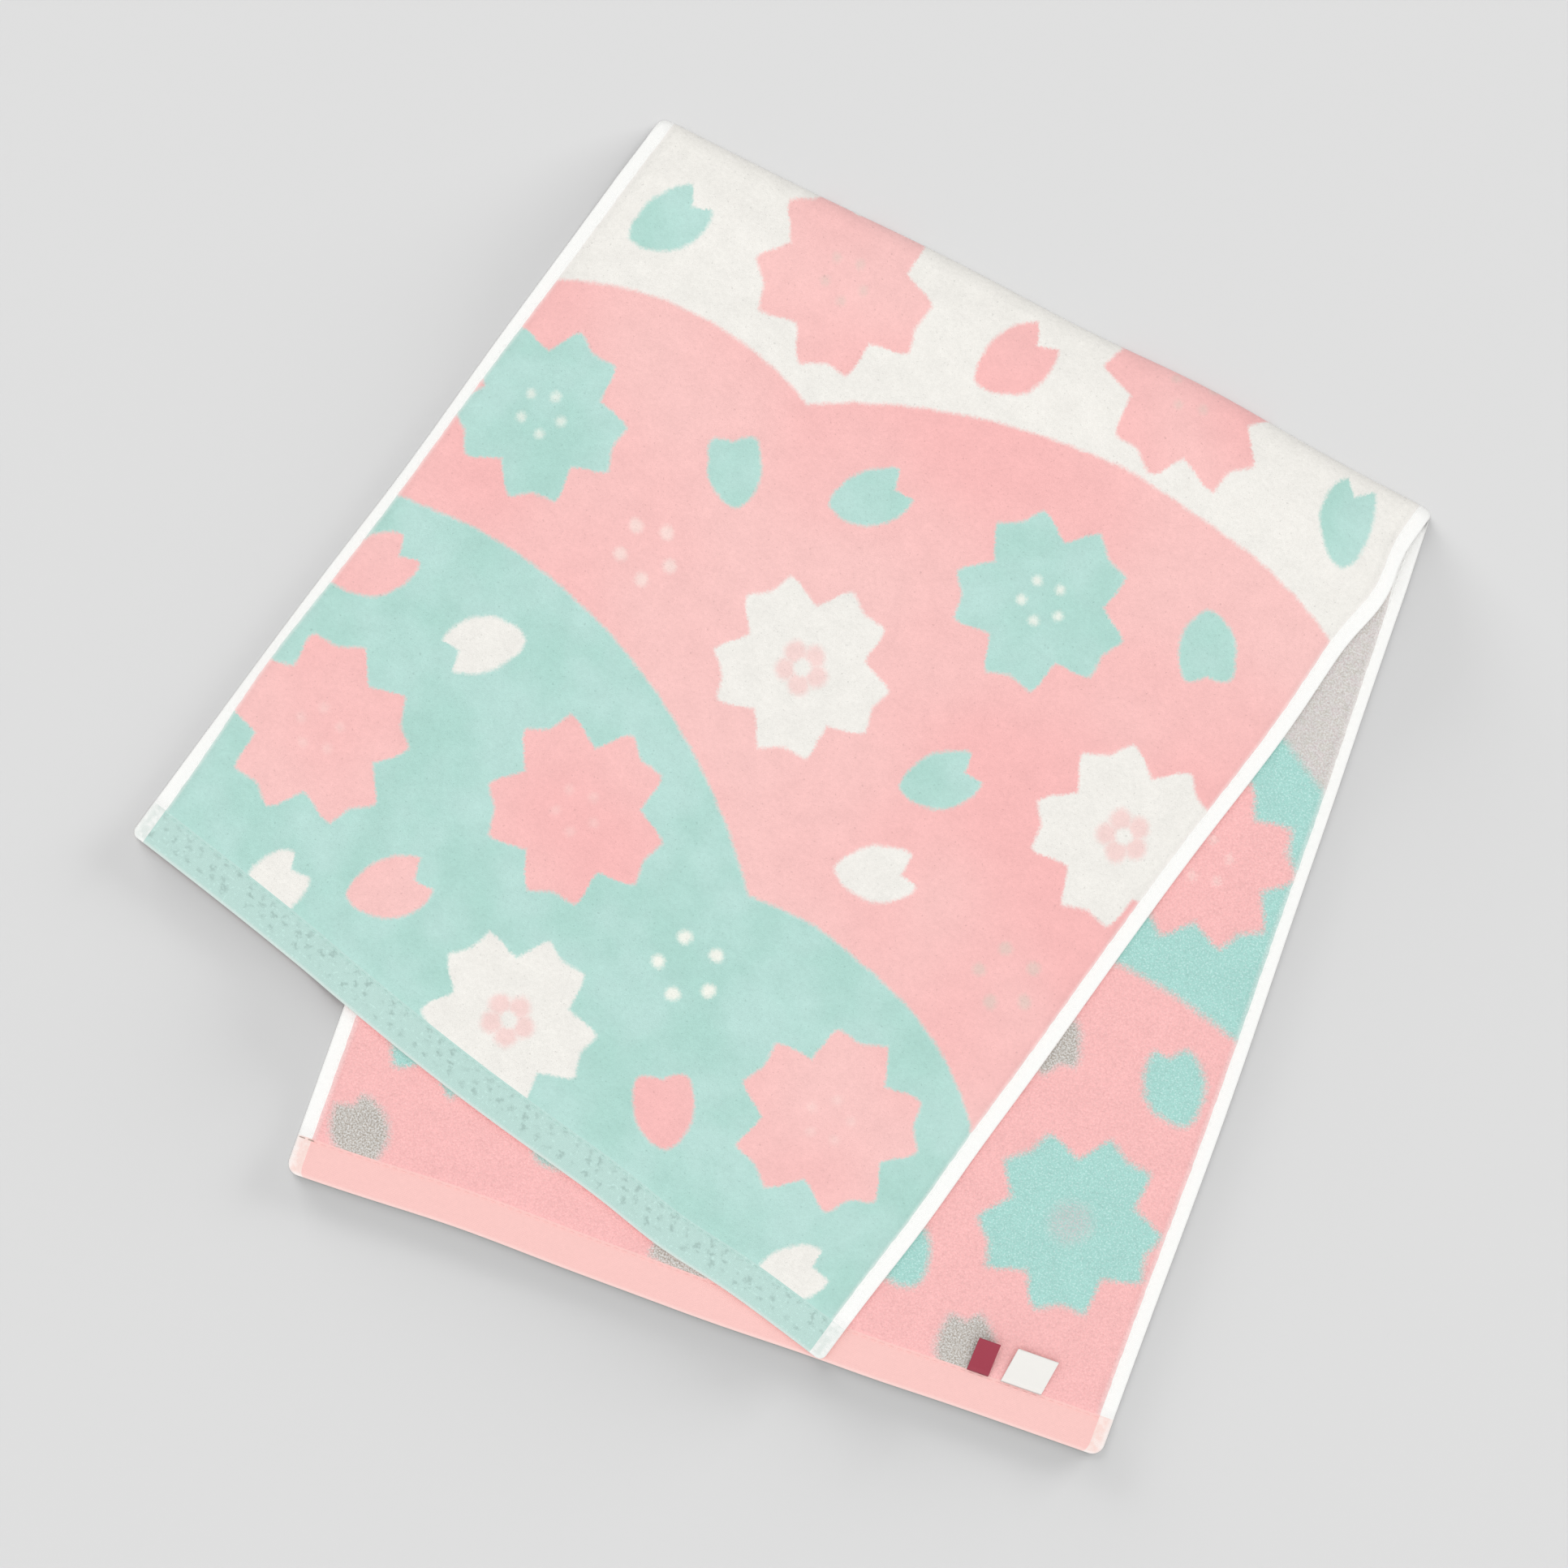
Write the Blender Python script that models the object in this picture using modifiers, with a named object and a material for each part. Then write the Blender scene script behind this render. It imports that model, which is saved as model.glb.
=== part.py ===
"""A cotton face towel, 34 by 80 cm, folded once across its width and laid flat.

The fold runs a little askew of the weave, so the two layers fan apart from it like the blades
of a half-open pair of scissors: the top layer leans to the left and the layer under it to the
right. The top layer's left corner reaches past the layer below and drops to the surface.

X runs along the fold, Y from the hems towards the fold, and Z is up. The underside of the lower
layer is the plane Z = 0, and the origin is under the middle of the whole towel. Metres.
"""

from collections import namedtuple
from math import radians

import bmesh
import bpy
import numpy as np

# The cloth lying flat: its width from edge to edge, and the bands along its edges
WIDTH = 0.340
SIDE_HEM = 0.0058
END_HEM = 0.0156
CORNER_RADIUS = 0.0030

# Thickness of the pile, of the flat hems, and of the rounded outer edge of a hem
PILE_THICK = 0.0030
END_THICK = 0.0022
SIDE_THICK = 0.0018
EDGE_THICK = 0.0008
EDGE_ROUND = 0.0008
PILE_STEP = 0.0012

# The fold: its length and the roll that it makes
FOLD_LENGTH = 0.3405
ROLL_DEPTH = 0.0065
ROLL_LOOP = 0.0030
ROLL_REACH = 0.022

# How the layers lie: the space between them, and how the top one drops past the lower one
LAYER_GAP = 0.0009
EDGE_CLEARANCE = 0.0020
DROP_REACH = 0.0200
FLOOR_GAP = 0.0003
WAVE_HEIGHT = 0.0007
WAVE_LENGTHS = (0.118, 0.151)

# A layer, from the fold to its hem: the length of each side edge, and its lean from square
# with the fold, in degrees, towards +X
Layer = namedtuple("Layer", "left_length right_length left_lean right_lean")
TOP = Layer(0.3502, 0.4112, -9.37, -8.72)
LOWER = Layer(0.4399, 0.3939, 7.42, 7.61)

# Where an edge leaves its straight line: the place as a share of the edge, how far it pushes
# outwards, and the reach of that swelling. Side edges count from the fold, and the fold and the
# hems from the left. Side swellings die away in the first share of the edge beside the fold.
Swell = namedtuple("Swell", "place push reach")
FOLD_SWELLS = [Swell(0.70, 0.0028, 0.13), Swell(0.38, 0.0020, 0.17)]
TOP_LEFT_SWELLS = [Swell(0.47, -0.0012, 0.14)]
TOP_RIGHT_SWELLS = [
    Swell(0.50, 0.0020, 0.42),
    Swell(0.18, 0.0030, 0.13),
    Swell(0.83, 0.0012, 0.08),
]
TOP_HEM_SWELLS = [Swell(0.48, 0.0038, 0.24), Swell(0.77, 0.0020, 0.07)]
LOWER_LEFT_SWELLS = []
LOWER_RIGHT_SWELLS = [Swell(0.62, 0.0015, 0.22)]
LOWER_HEM_SWELLS = [
    Swell(0.21, -0.0014, 0.11),
    Swell(0.53, 0.0007, 0.10),
    Swell(0.72, 0.0005, 0.07),
]
SWELL_START = 0.06

# Mesh rows and columns: how many in the open field and round the roll
FIELD_COLUMNS = 25
FIELD_ROWS = 17
ROLL_STEPS = 10
CORNER_ROW = 0.0022
FOLD_ROWS = (0.034, 0.021, 0.011, 0.004)

# The two labels, caught in the lower layer's hem seam near its right-hand corner. A label is
# placed by the middle of its root, measured along the hem from that corner.
LABEL_THICK = 0.0005
LABEL_GAP = 0.0003
LABEL_ROOT = 0.0154
LABEL_COLUMNS = 3
Label = namedtuple("Label", "name from_corner width length slant lift")
LABELS = [
    Label("label_small", 0.0560, 0.0089, 0.0138, 0.0004, 0.0034),
    Label("label_wide", 0.0380, 0.0168, 0.0146, 0.0024, 0.0010),
]

PINK = (0.900, 0.540, 0.530, 1.0)
LABEL_COLOURS = {
    "label_small": (0.360, 0.050, 0.060, 1.0),
    "label_wide": (0.860, 0.850, 0.820, 1.0),
}


def soft_step(value, start, end):
    """0 before start, 1 after end, and a smooth rise between them."""
    t = np.clip((value - start) / (end - start), 0.0, 1.0)
    return t * t * (3.0 - 2.0 * t)


def swell(place, swells):
    """The outward push at each place along an edge, as the sum of its soft swellings."""
    total = np.zeros_like(place)
    for s in swells:
        total = total + s.push * np.exp(-(((place - s.place) / s.reach) ** 2))
    return total


def thickness(from_side, from_end):
    """Thickness of the cloth, by the distance in from its nearer side edge and nearer end."""
    side = np.interp(
        from_side,
        [0.0, EDGE_ROUND, SIDE_HEM, SIDE_HEM + PILE_STEP],
        [EDGE_THICK, SIDE_THICK, SIDE_THICK, PILE_THICK],
    )
    end = np.interp(
        from_end,
        [0.0, EDGE_ROUND, END_HEM, END_HEM + PILE_STEP],
        [EDGE_THICK, END_THICK, END_THICK, PILE_THICK],
    )
    return np.minimum(side, end)


def down_an_edge(lean):
    """Unit vector from the fold to the hem, along a side edge of that lean in degrees."""
    return np.array([np.sin(radians(lean)), -np.cos(radians(lean))])


def hem_corners(layer):
    """The left and right corners of a layer's hem, in the plane of the surface."""
    left = np.array([-FOLD_LENGTH / 2, 0.0]) + layer.left_length * down_an_edge(layer.left_lean)
    right = np.array([FOLD_LENGTH / 2, 0.0]) + layer.right_length * down_an_edge(layer.right_lean)
    return left, right


def hem_directions(layer):
    """Unit vectors along a layer's hem, left to right, and inwards from it to the fold."""
    left, right = hem_corners(layer)
    along = (right - left) / np.linalg.norm(right - left)
    return along, np.array([-along[1], along[0]])


def rest_height(x, y):
    """Height of the top layer's underside: over the lower layer, and down past its left edge."""
    down = down_an_edge(LOWER.left_lean)
    outwards = np.array([down[1], -down[0]])
    past_edge = (x + FOLD_LENGTH / 2) * outwards[0] + y * outwards[1]
    left, _ = hem_corners(LOWER)
    _, inwards = hem_directions(LOWER)
    from_hem = (x - left[0]) * inwards[0] + (y - left[1]) * inwards[1]
    over_pile = soft_step(from_hem, END_HEM - 0.004, END_HEM + 0.008)
    over = LAYER_GAP + END_THICK + (PILE_THICK - END_THICK) * over_pile
    drop = soft_step(past_edge, EDGE_CLEARANCE, EDGE_CLEARANCE + DROP_REACH)
    wave = np.sin(2 * np.pi * (x + 0.4 * y) / WAVE_LENGTHS[0])
    wave = wave * np.sin(2 * np.pi * (y - 0.2 * x) / WAVE_LENGTHS[1])
    return over * (1 - drop) + FLOOR_GAP * drop + WAVE_HEIGHT * (1 + wave) / 2 * (1 - drop)


def columns():
    """Places of the mesh's columns across the cloth, as distances from its left edge."""
    band = [0.0, EDGE_ROUND, SIDE_HEM, SIDE_HEM + PILE_STEP]
    field = np.linspace(band[-1], WIDTH - band[-1], FIELD_COLUMNS)
    return np.concatenate([band, field[1:-1], WIDTH - np.array(band[::-1])])


def rows(length):
    """Places of a layer's rows, as distances from its hem, for each column's length."""
    band = np.array([0.0, EDGE_ROUND, CORNER_ROW, END_HEM, END_HEM + PILE_STEP])
    near_hem = np.repeat(band[:, None], len(length), axis=1)
    near_fold = length[None, :] - np.array([*FOLD_ROWS, 0.0])[:, None]
    share = np.linspace(0.0, 1.0, FIELD_ROWS)[1:-1, None]
    field = near_hem[-1] + share * (near_fold[0] - near_hem[-1])
    return np.concatenate([near_hem, field, near_fold])


def across_at_corner(across, from_hem):
    """The distance across the cloth, drawn in near a hem's ends so that the corners are round."""
    short = np.clip(CORNER_RADIUS - from_hem, 0.0, CORNER_RADIUS)
    inset = CORNER_RADIUS - np.sqrt(CORNER_RADIUS**2 - short**2)
    fade = 2 * CORNER_RADIUS
    left = inset * np.clip(1 - across / fade, 0.0, 1.0)
    right = inset * np.clip(1 - (WIDTH - across) / fade, 0.0, 1.0)
    return across + left - right


def fold_edge(share):
    """The outer edge of the fold, by the share of the way along it."""
    return FOLD_LENGTH * (share - 0.5), swell(share, FOLD_SWELLS)


def roll_skew():
    """How far the weave runs sideways for each metre that it goes round the roll."""
    fan = (LOWER.left_lean + LOWER.right_lean - TOP.left_lean - TOP.right_lean) / 2
    return np.tan(radians(fan / 2))


def roll_arc():
    """Length of the roll's half ellipse, by the mean of its two half axes."""
    high = (PILE_THICK * 2 + LAYER_GAP + ROLL_LOOP) / 2
    return np.pi * (ROLL_DEPTH + high) / 2


def layer_plan(layer, sign, left_swells, right_swells, hem_swells):
    """Plan of a layer: x, y, distance from the hem and distance from the roll, row by row.

    Each column is a straight line from the roll to the hem. The side swellings push it
    sideways in proportion to its place across the cloth.
    """
    across = columns()
    share = across / WIDTH
    left, right = hem_corners(layer)
    along, inwards = hem_directions(layer)
    hem = left + share[:, None] * (right - left) - swell(share, hem_swells)[:, None] * inwards
    start_x, start_y = fold_edge(share)
    start = np.stack([start_x - sign * roll_skew() * roll_arc() / 2, start_y - ROLL_DEPTH], 1)
    length = np.linalg.norm(hem - start, axis=1)
    from_hem = rows(length)
    across = across_at_corner(across[None, :], from_hem)
    share = across / WIDTH
    hem = left + share[..., None] * (right - left)
    hem = hem - swell(share, hem_swells)[..., None] * inwards
    start_x, start_y = fold_edge(share)
    start = np.stack([start_x - sign * roll_skew() * roll_arc() / 2, start_y - ROLL_DEPTH], 2)
    down = (from_hem / length)[..., None]
    point = hem + down * (start - hem)
    place = 1 - from_hem / length
    push = swell(place, right_swells) * share - swell(place, left_swells) * (1 - share)
    point = point + (push * soft_step(place, 0.0, SWELL_START))[..., None] * along
    return point[..., 0], point[..., 1], across, from_hem, length[None, :] - from_hem


def towel_points():
    """The front face of the folded towel as arrays of points and thicknesses, hem to hem.

    The top layer's rows come first, from its hem to the roll, then the roll's own rows, then
    the lower layer's from the roll to its hem. The front face is the outside of the fold.
    """
    x, y, across, from_hem, from_roll = layer_plan(
        TOP, 1, TOP_LEFT_SWELLS, TOP_RIGHT_SWELLS, TOP_HEM_SWELLS
    )
    side = np.minimum(across, WIDTH - across)
    thick = thickness(side, from_hem)
    loop = ROLL_LOOP * np.exp(-((from_roll / ROLL_REACH) ** 2))
    top = np.stack([x, y, rest_height(x, y) + loop + thick, thick])

    x, y, across, from_hem, _ = layer_plan(
        LOWER, -1, LOWER_LEFT_SWELLS, LOWER_RIGHT_SWELLS, LOWER_HEM_SWELLS
    )
    side = np.minimum(across, WIDTH - across)
    lower = np.stack([x, y, np.zeros_like(x), thickness(side, from_hem)])

    angle = np.linspace(np.pi / 2, -np.pi / 2, ROLL_STEPS + 1)[1:-1, None]
    share = columns() / WIDTH
    edge_x, edge_y = fold_edge(share)
    half_height = top[2, -1] / 2
    sideways = roll_skew() * roll_arc() * angle / np.pi
    roll = np.stack(
        [
            edge_x - sideways,
            edge_y - ROLL_DEPTH * (1 - np.cos(angle)),
            half_height * (1 + np.sin(angle)),
            np.broadcast_to(top[3, -1], sideways.shape[:1] + share.shape),
        ]
    )
    return np.concatenate([top, roll, lower[:, ::-1]], axis=1)


def plain_material(name, colour, roughness):
    """A matt cloth material of one colour."""
    material = bpy.data.materials.new(name)
    material.use_nodes = True
    shader = material.node_tree.nodes["Principled BSDF"]
    shader.inputs["Base Color"].default_value = colour
    shader.inputs["Roughness"].default_value = roughness
    shader.inputs["Metallic"].default_value = 0.0
    material.diffuse_color = colour
    return material


def cloth_object(name, points, thick, full, side, material, collection):
    """A sheet over a grid of points, thickened on one side of it by Solidify.

    points is 3 by rows by columns. thick is the thickness at each point and full its largest
    value. side is -1 where the sheet grows against its normals and 1 where along them.
    """
    row_count, column_count = thick.shape
    bm = bmesh.new()
    bmesh.ops.create_grid(bm, x_segments=column_count - 1, y_segments=row_count - 1, size=1)
    at = np.array([v.co[:2] for v in bm.verts])
    column = np.rint((at[:, 0] + 1) / 2 * (column_count - 1)).astype(int)
    row = np.rint((at[:, 1] + 1) / 2 * (row_count - 1)).astype(int)
    mesh = bpy.data.meshes.new(name)
    bm.to_mesh(mesh)
    bm.free()
    mesh.vertices.foreach_set("co", points[:, row, column].T.astype(np.float32).ravel())
    mesh.update()
    mesh.shade_smooth()
    mesh.set_sharp_from_angle(angle=radians(35))
    mesh.materials.append(material)
    cloth = bpy.data.objects.new(name, mesh)
    collection.objects.link(cloth)
    group = cloth.vertex_groups.new(name="thickness")
    for index, weight in enumerate((thick / full)[row, column]):
        group.add([index], float(weight), "REPLACE")
    solidify = cloth.modifiers.new("Solidify", "SOLIDIFY")
    solidify.thickness = full
    solidify.offset = side
    solidify.vertex_group = group.name
    return cloth


def label_points(label, towel_centre):
    """A label's underside, from the hem seam that holds its root to its free end.

    It keeps just above the cloth, from the flat hem over the step to the pile, and then
    curls up by the square of the way to its end, to its lift.
    """
    _, corner = hem_corners(LOWER)
    along, inwards = hem_directions(LOWER)
    bends = [LABEL_ROOT, END_HEM, END_HEM + PILE_STEP]
    free = np.linspace(bends[-1], LABEL_ROOT + label.length, 5)
    inward = np.concatenate([bends[:-1], free])[:, None]
    share = (inward - LABEL_ROOT) / label.length
    sideways = np.linspace(-label.width / 2, label.width / 2, LABEL_COLUMNS)[None, :]
    sideways = sideways - label.from_corner + label.slant * share
    plan = corner[:, None, None] + sideways * along[:, None, None]
    plan = plan + inward * inwards[:, None, None] - towel_centre[:, None, None]
    height = np.interp(inward, bends[1:], [END_THICK, PILE_THICK]) + LABEL_GAP
    height = height + label.lift * share**2
    return np.stack([plan[0], plan[1], np.broadcast_to(height, plan[0].shape)])


for old in list(bpy.data.objects):
    bpy.data.objects.remove(old, do_unlink=True)

folded_towel = bpy.data.collections.new("folded_towel")
bpy.context.scene.collection.children.link(folded_towel)

# The towel, centred on its own outline
surface = towel_points()
plan = surface[:2].reshape(2, -1)
centre = (plan.min(axis=1) + plan.max(axis=1)) / 2
surface[:2] -= centre[:, None, None]
cloth_object(
    "towel",
    surface[:3],
    surface[3],
    PILE_THICK,
    -1,
    plain_material("towelling", PINK, 0.95),
    folded_towel,
)

# The two labels on the lower layer
for label in LABELS:
    points = label_points(label, centre)
    cloth_object(
        label.name,
        points,
        np.full(points.shape[1:], LABEL_THICK),
        LABEL_THICK,
        1,
        plain_material(label.name, LABEL_COLOURS[label.name], 0.7),
        folded_towel,
    )
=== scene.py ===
"""Looks of a cotton face towel, folded once and laid flat on a pale table, seen from overhead.

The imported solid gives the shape. The cloth here is a finer sheet on the same folds, with its
woven figure, pile and hems. Lengths are in metres, apart from the flat cloth's own patterns,
which are in millimetres across and along the cloth.
"""

from collections import namedtuple
from math import atan, radians

import bpy
import numpy as np
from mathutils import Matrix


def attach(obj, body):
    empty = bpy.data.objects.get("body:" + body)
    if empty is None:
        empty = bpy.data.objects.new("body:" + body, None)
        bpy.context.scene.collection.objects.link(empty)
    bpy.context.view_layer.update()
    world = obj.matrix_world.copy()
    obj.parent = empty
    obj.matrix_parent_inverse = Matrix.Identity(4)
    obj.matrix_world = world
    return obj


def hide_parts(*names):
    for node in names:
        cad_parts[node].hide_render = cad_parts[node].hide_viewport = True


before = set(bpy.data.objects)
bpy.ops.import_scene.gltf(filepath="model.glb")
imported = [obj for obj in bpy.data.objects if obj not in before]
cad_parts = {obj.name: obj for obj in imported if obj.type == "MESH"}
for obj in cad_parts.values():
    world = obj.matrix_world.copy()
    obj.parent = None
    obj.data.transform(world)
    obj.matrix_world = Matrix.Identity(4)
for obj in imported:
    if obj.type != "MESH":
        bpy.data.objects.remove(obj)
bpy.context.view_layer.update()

# The table and the camera
# A plain pale table top. The camera hangs straight over it, rolled so that the fold runs down
# to the right, as in the photograph.
TABLE_SIZE = 20.0
TABLE_COLOUR = (0.44, 0.44, 0.44, 1.0)
VIEW_CENTRE = (-0.0057, 0.0050)
VIEW_WIDTH = 0.6153
VIEW_HEIGHT = 2.0
VIEW_LEVEL = 0.005
VIEW_ROLL = radians(27.09)

table_mesh = bpy.data.meshes.new("table_top")
edge = TABLE_SIZE / 2
table_mesh.from_pydata(
    [(-edge, -edge, 0.0), (edge, -edge, 0.0), (edge, edge, 0.0), (-edge, edge, 0.0)],
    [],
    [(0, 1, 2, 3)],
)
table_top = bpy.data.objects.new("table_top", table_mesh)
bpy.context.scene.collection.objects.link(table_top)
table_paint = bpy.data.materials.new("table_paint")
table_paint.use_nodes = True
paint = table_paint.node_tree.nodes["Principled BSDF"]
paint.inputs["Base Color"].default_value = TABLE_COLOUR
paint.inputs["Roughness"].default_value = 1.0
paint.inputs["Specular IOR Level"].default_value = 0.0
table_mesh.materials.append(table_paint)

lens = bpy.data.cameras.new("overhead_camera")
lens.sensor_fit = "HORIZONTAL"
lens.angle = 2 * atan(VIEW_WIDTH / 2 / (VIEW_HEIGHT - VIEW_LEVEL))
overhead_camera = bpy.data.objects.new("overhead_camera", lens)
overhead_camera.location = (*VIEW_CENTRE, VIEW_HEIGHT)
overhead_camera.rotation_euler = (0.0, 0.0, VIEW_ROLL)
bpy.context.scene.collection.objects.link(overhead_camera)
bpy.context.scene.camera = overhead_camera

# The light
# An even pale room, and lamps that are far away. One lights the cloth alone, a little from its
# hems' side, so that the roll of the fold darkens towards its edge. The others light the table
# alone: one overhead, a broad one from the upper left, and two fans of low ones that skim it
# and throw the long soft shadows below the towel and beside it.
ROOM_COLOUR = (1.0, 1.0, 1.0, 1.0)
ROOM_STRENGTH = 0.50

# spread and tilt from upright are in degrees, and so is the bearing, from +Y towards -X
Lamp = namedtuple("Lamp", "name strength spread tilt bearing")
CLOTH_LAMPS = [Lamp("cloth_lamp", 1.98, 150, 14, 180)]
TABLE_LAMPS = [
    Lamp("table_lamp", 1.62, 60, 5, 0),
    Lamp("broad_side_lamp", 2.0, 40, 65, 48),
]
LOW_LAMPS = [Lamp("low_lamp_left", 8.6, 9, 86.3, 57), Lamp("low_lamp_right", 10.8, 9, 86.2, -33)]
FAN_TURNS = (-13, -4, 4, 13)

room = bpy.data.worlds.new("room")
room.use_nodes = True
room.node_tree.nodes["Background"].inputs["Color"].default_value = ROOM_COLOUR
room.node_tree.nodes["Background"].inputs["Strength"].default_value = ROOM_STRENGTH
bpy.context.scene.world = room


def hang_lamp(lamp, lit_things):
    """A distant lamp that lights the things of one collection."""
    data = bpy.data.lights.new(lamp.name, "SUN")
    data.energy = lamp.strength
    data.angle = radians(lamp.spread)
    hung = bpy.data.objects.new(lamp.name, data)
    hung.rotation_euler = (-radians(lamp.tilt), 0.0, radians(lamp.bearing))
    hung.light_linking.receiver_collection = lit_things
    bpy.context.scene.collection.objects.link(hung)


only_table = bpy.data.collections.new("only_table")
only_table.objects.link(table_top)
only_cloth = bpy.data.collections.new("only_cloth")
for lamp in TABLE_LAMPS:
    hang_lamp(lamp, only_table)
for lamp in LOW_LAMPS:
    for turn in FAN_TURNS:
        share = lamp.strength / len(FAN_TURNS)
        hang_lamp(lamp._replace(strength=share, bearing=lamp.bearing + turn), only_table)
for lamp in CLOTH_LAMPS:
    hang_lamp(lamp, only_cloth)
bpy.context.scene.view_settings.view_transform = "Standard"

# The towel cloth: how it lies
# One length of cotton towelling, 34 by 80 cm, sheared to velour on its front and left as loops
# on its back. It is folded once, a little askew, so the layers fan apart, with the front
# outside. Its long sides and its ends are turned and sewn as flat hems.
WIDTH = 0.340
LENGTH = 0.800
SIDE_HEM = 0.0058
END_HEM = 0.0156
PILE_THICK = 0.0030
END_THICK = 0.0022
SIDE_THICK = 0.0018
CORNER_THICK = 0.0025
EDGE_ROUND = 0.0009
PILE_STEP = 0.0017
SIDE_SEAM = 0.0049
END_SEAM = 0.0144
SEAM_DEPTH = 0.00012
SEAM_REACH = 0.00060

FOLD_LENGTH = 0.3405
ROLL_DEPTH = 0.0090
ROLL_SLOPE = 1.64
ROLL_TIP = 1.07
ROLL_LOOP = 0.0030
ROLL_CREST = 0.012
ROLL_REACH = 0.016
HEM_REACH = 0.012
FOLD_CORNER = 0.0035
FOLD_CORNER_DEPTH = 0.0028
LAYER_GAP = 0.0009
EDGE_CLEARANCE = 0.0020
DROP_REACH = 0.0200
TABLE_GAP = 0.0003
SLACK_REACH = 0.060

# How the pile rises over the hem below, how flat the top layer lies at its own hems, and the
# unevenness of the cloth. Its waves are: the top layer's slow ones (shares of x and y, length),
# the pile's edge (radians per metre, start), an end hem's puckers (length, start), and the
# pile's own (shares of the distances across and from the hem, length, start).
PILE_BEFORE_HEM = 0.004
PILE_PAST_HEM = 0.008
HEM_CLOSENESS = 0.7
HEM_FLATNESS = 0.8
WAVE_HEIGHT = 0.0007
SLOW_WAVES = ((1.0, 0.4, 0.118), (-0.2, 1.0, 0.151))
PILE_EDGE_REACH = 0.0012
PILE_EDGE_FADE = 0.01
PILE_EDGE_WOBBLE = 0.00007
PILE_EDGE_WAVES = ((1310, 0.0), (831, 1.1), (347, 2.0))
PUCKER_HEIGHT = 0.00009
PUCKER_WAVES = ((0.0171, 0.0), (0.0113, 1.3))
PUFF_HEIGHT = 0.00007
PUFF_WAVES = ((1.0, 0.3, 0.0237, 0.0), (-0.5, 1.0, 0.0191, 0.0), (0.8, -1.0, 0.0107, 0.7))

# Where an edge leaves its straight line: its place as a share of the edge, how far it pushes
# outwards, and the reach of the swelling
Swell = namedtuple("Swell", "place push reach")
FOLD_SWELLS = [Swell(0.70, 0.0028, 0.13), Swell(0.38, 0.0020, 0.17)]
SWELL_START = 0.06
NARROW_REACH = 0.011

# A layer from the fold to its hem: the length of each side, its lean in degrees towards +X, the
# radius of its corners, which way it leaves the roll, and how its edges swell. Its side hems
# lie narrower than their flat width where the pile pulls over them, or wider.
Layer = namedtuple(
    "Layer",
    "left_length right_length left_lean right_lean corner_radius sign "
    "left_swells right_swells hem_swells left_narrow right_narrow",
)
TOP = Layer(
    left_length=0.3502,
    right_length=0.4112,
    left_lean=-9.37,
    right_lean=-8.72,
    corner_radius=0.0030,
    sign=1,
    left_swells=[Swell(0.47, -0.0012, 0.14), Swell(0.60, 0.0007, 0.60)],
    right_swells=[
        Swell(0.50, 0.0020, 0.42),
        Swell(0.225, 0.0027, 0.125),
        Swell(0.83, 0.0012, 0.08),
        Swell(0.66, 0.0006, 0.09),
        Swell(0.073, 0.0034, 0.042),
    ],
    hem_swells=[Swell(0.48, 0.0038, 0.24), Swell(0.77, 0.0020, 0.07)],
    left_narrow=[Swell(0.75, 0.0022, 0.12), Swell(0.45, 0.0016, 0.20)],
    right_narrow=[Swell(0.80, -0.0006, 0.30)],
)
LOWER = Layer(
    left_length=0.4399,
    right_length=0.3939,
    left_lean=7.42,
    right_lean=7.61,
    corner_radius=0.0050,
    sign=-1,
    left_swells=[],
    right_swells=[Swell(0.62, 0.0015, 0.22), Swell(0.55, 0.0010, 0.60), Swell(0.30, 0.0004, 0.10)],
    hem_swells=[Swell(0.21, -0.0014, 0.11), Swell(0.53, 0.0007, 0.10), Swell(0.72, 0.0005, 0.07)],
    left_narrow=[],
    right_narrow=[Swell(0.25, 0.0011, 0.28), Swell(0.05, -0.0012, 0.03)],
)

# Mesh lines over the rounded edge and the hems, and their spacing in the open pile
EDGE_LINES = [0.0, 0.00006, 0.00022, 0.0005, EDGE_ROUND]
SIDE_LINES = [0.0024, 0.0040, SIDE_SEAM - 0.0004, SIDE_SEAM, SIDE_SEAM + 0.0004]
SIDE_LINES += [SIDE_HEM, SIDE_HEM + 0.0005, SIDE_HEM + PILE_STEP]
END_LINES = [0.0013, 0.0018, 0.0025, 0.0034, 0.0046, 0.0062, 0.0092, 0.0122]
END_LINES += [END_SEAM - 0.0005, END_SEAM, END_SEAM + 0.0005]
END_LINES += [END_HEM, END_HEM + 0.0005, END_HEM + PILE_STEP]
FIELD_COLUMNS = 119
FIELD_ROWS = 128
ROLL_STEPS = 16
FOLD_ROWS = (0.0300, 0.0272, 0.0244, 0.0216, 0.0188, 0.0160, 0.0132, 0.0104, 0.0076, 0.0050, 0.0025)


def soft_step(value, start, end):
    """0 before start, 1 after end, and a smooth rise between them."""
    t = np.clip((value - start) / (end - start), 0.0, 1.0)
    return t * t * (3.0 - 2.0 * t)


def bell(distance, reach):
    """1 at no distance, and a soft fall that is nearly done at twice the reach."""
    return np.exp(-((distance / reach) ** 2))


def ripple(distance, length, start=0.0):
    """A sine of that length in metres."""
    return np.sin(2 * np.pi * distance / length + start)


def swell(place, swells):
    """The outward push at each place along an edge, as the sum of its soft swellings."""
    total = np.zeros_like(place)
    for s in swells:
        total = total + s.push * bell(place - s.place, s.reach)
    return total


def down_an_edge(lean):
    """Unit vector from the fold to the hem, along a side of that lean in degrees."""
    return np.array([np.sin(radians(lean)), -np.cos(radians(lean))])


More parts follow.
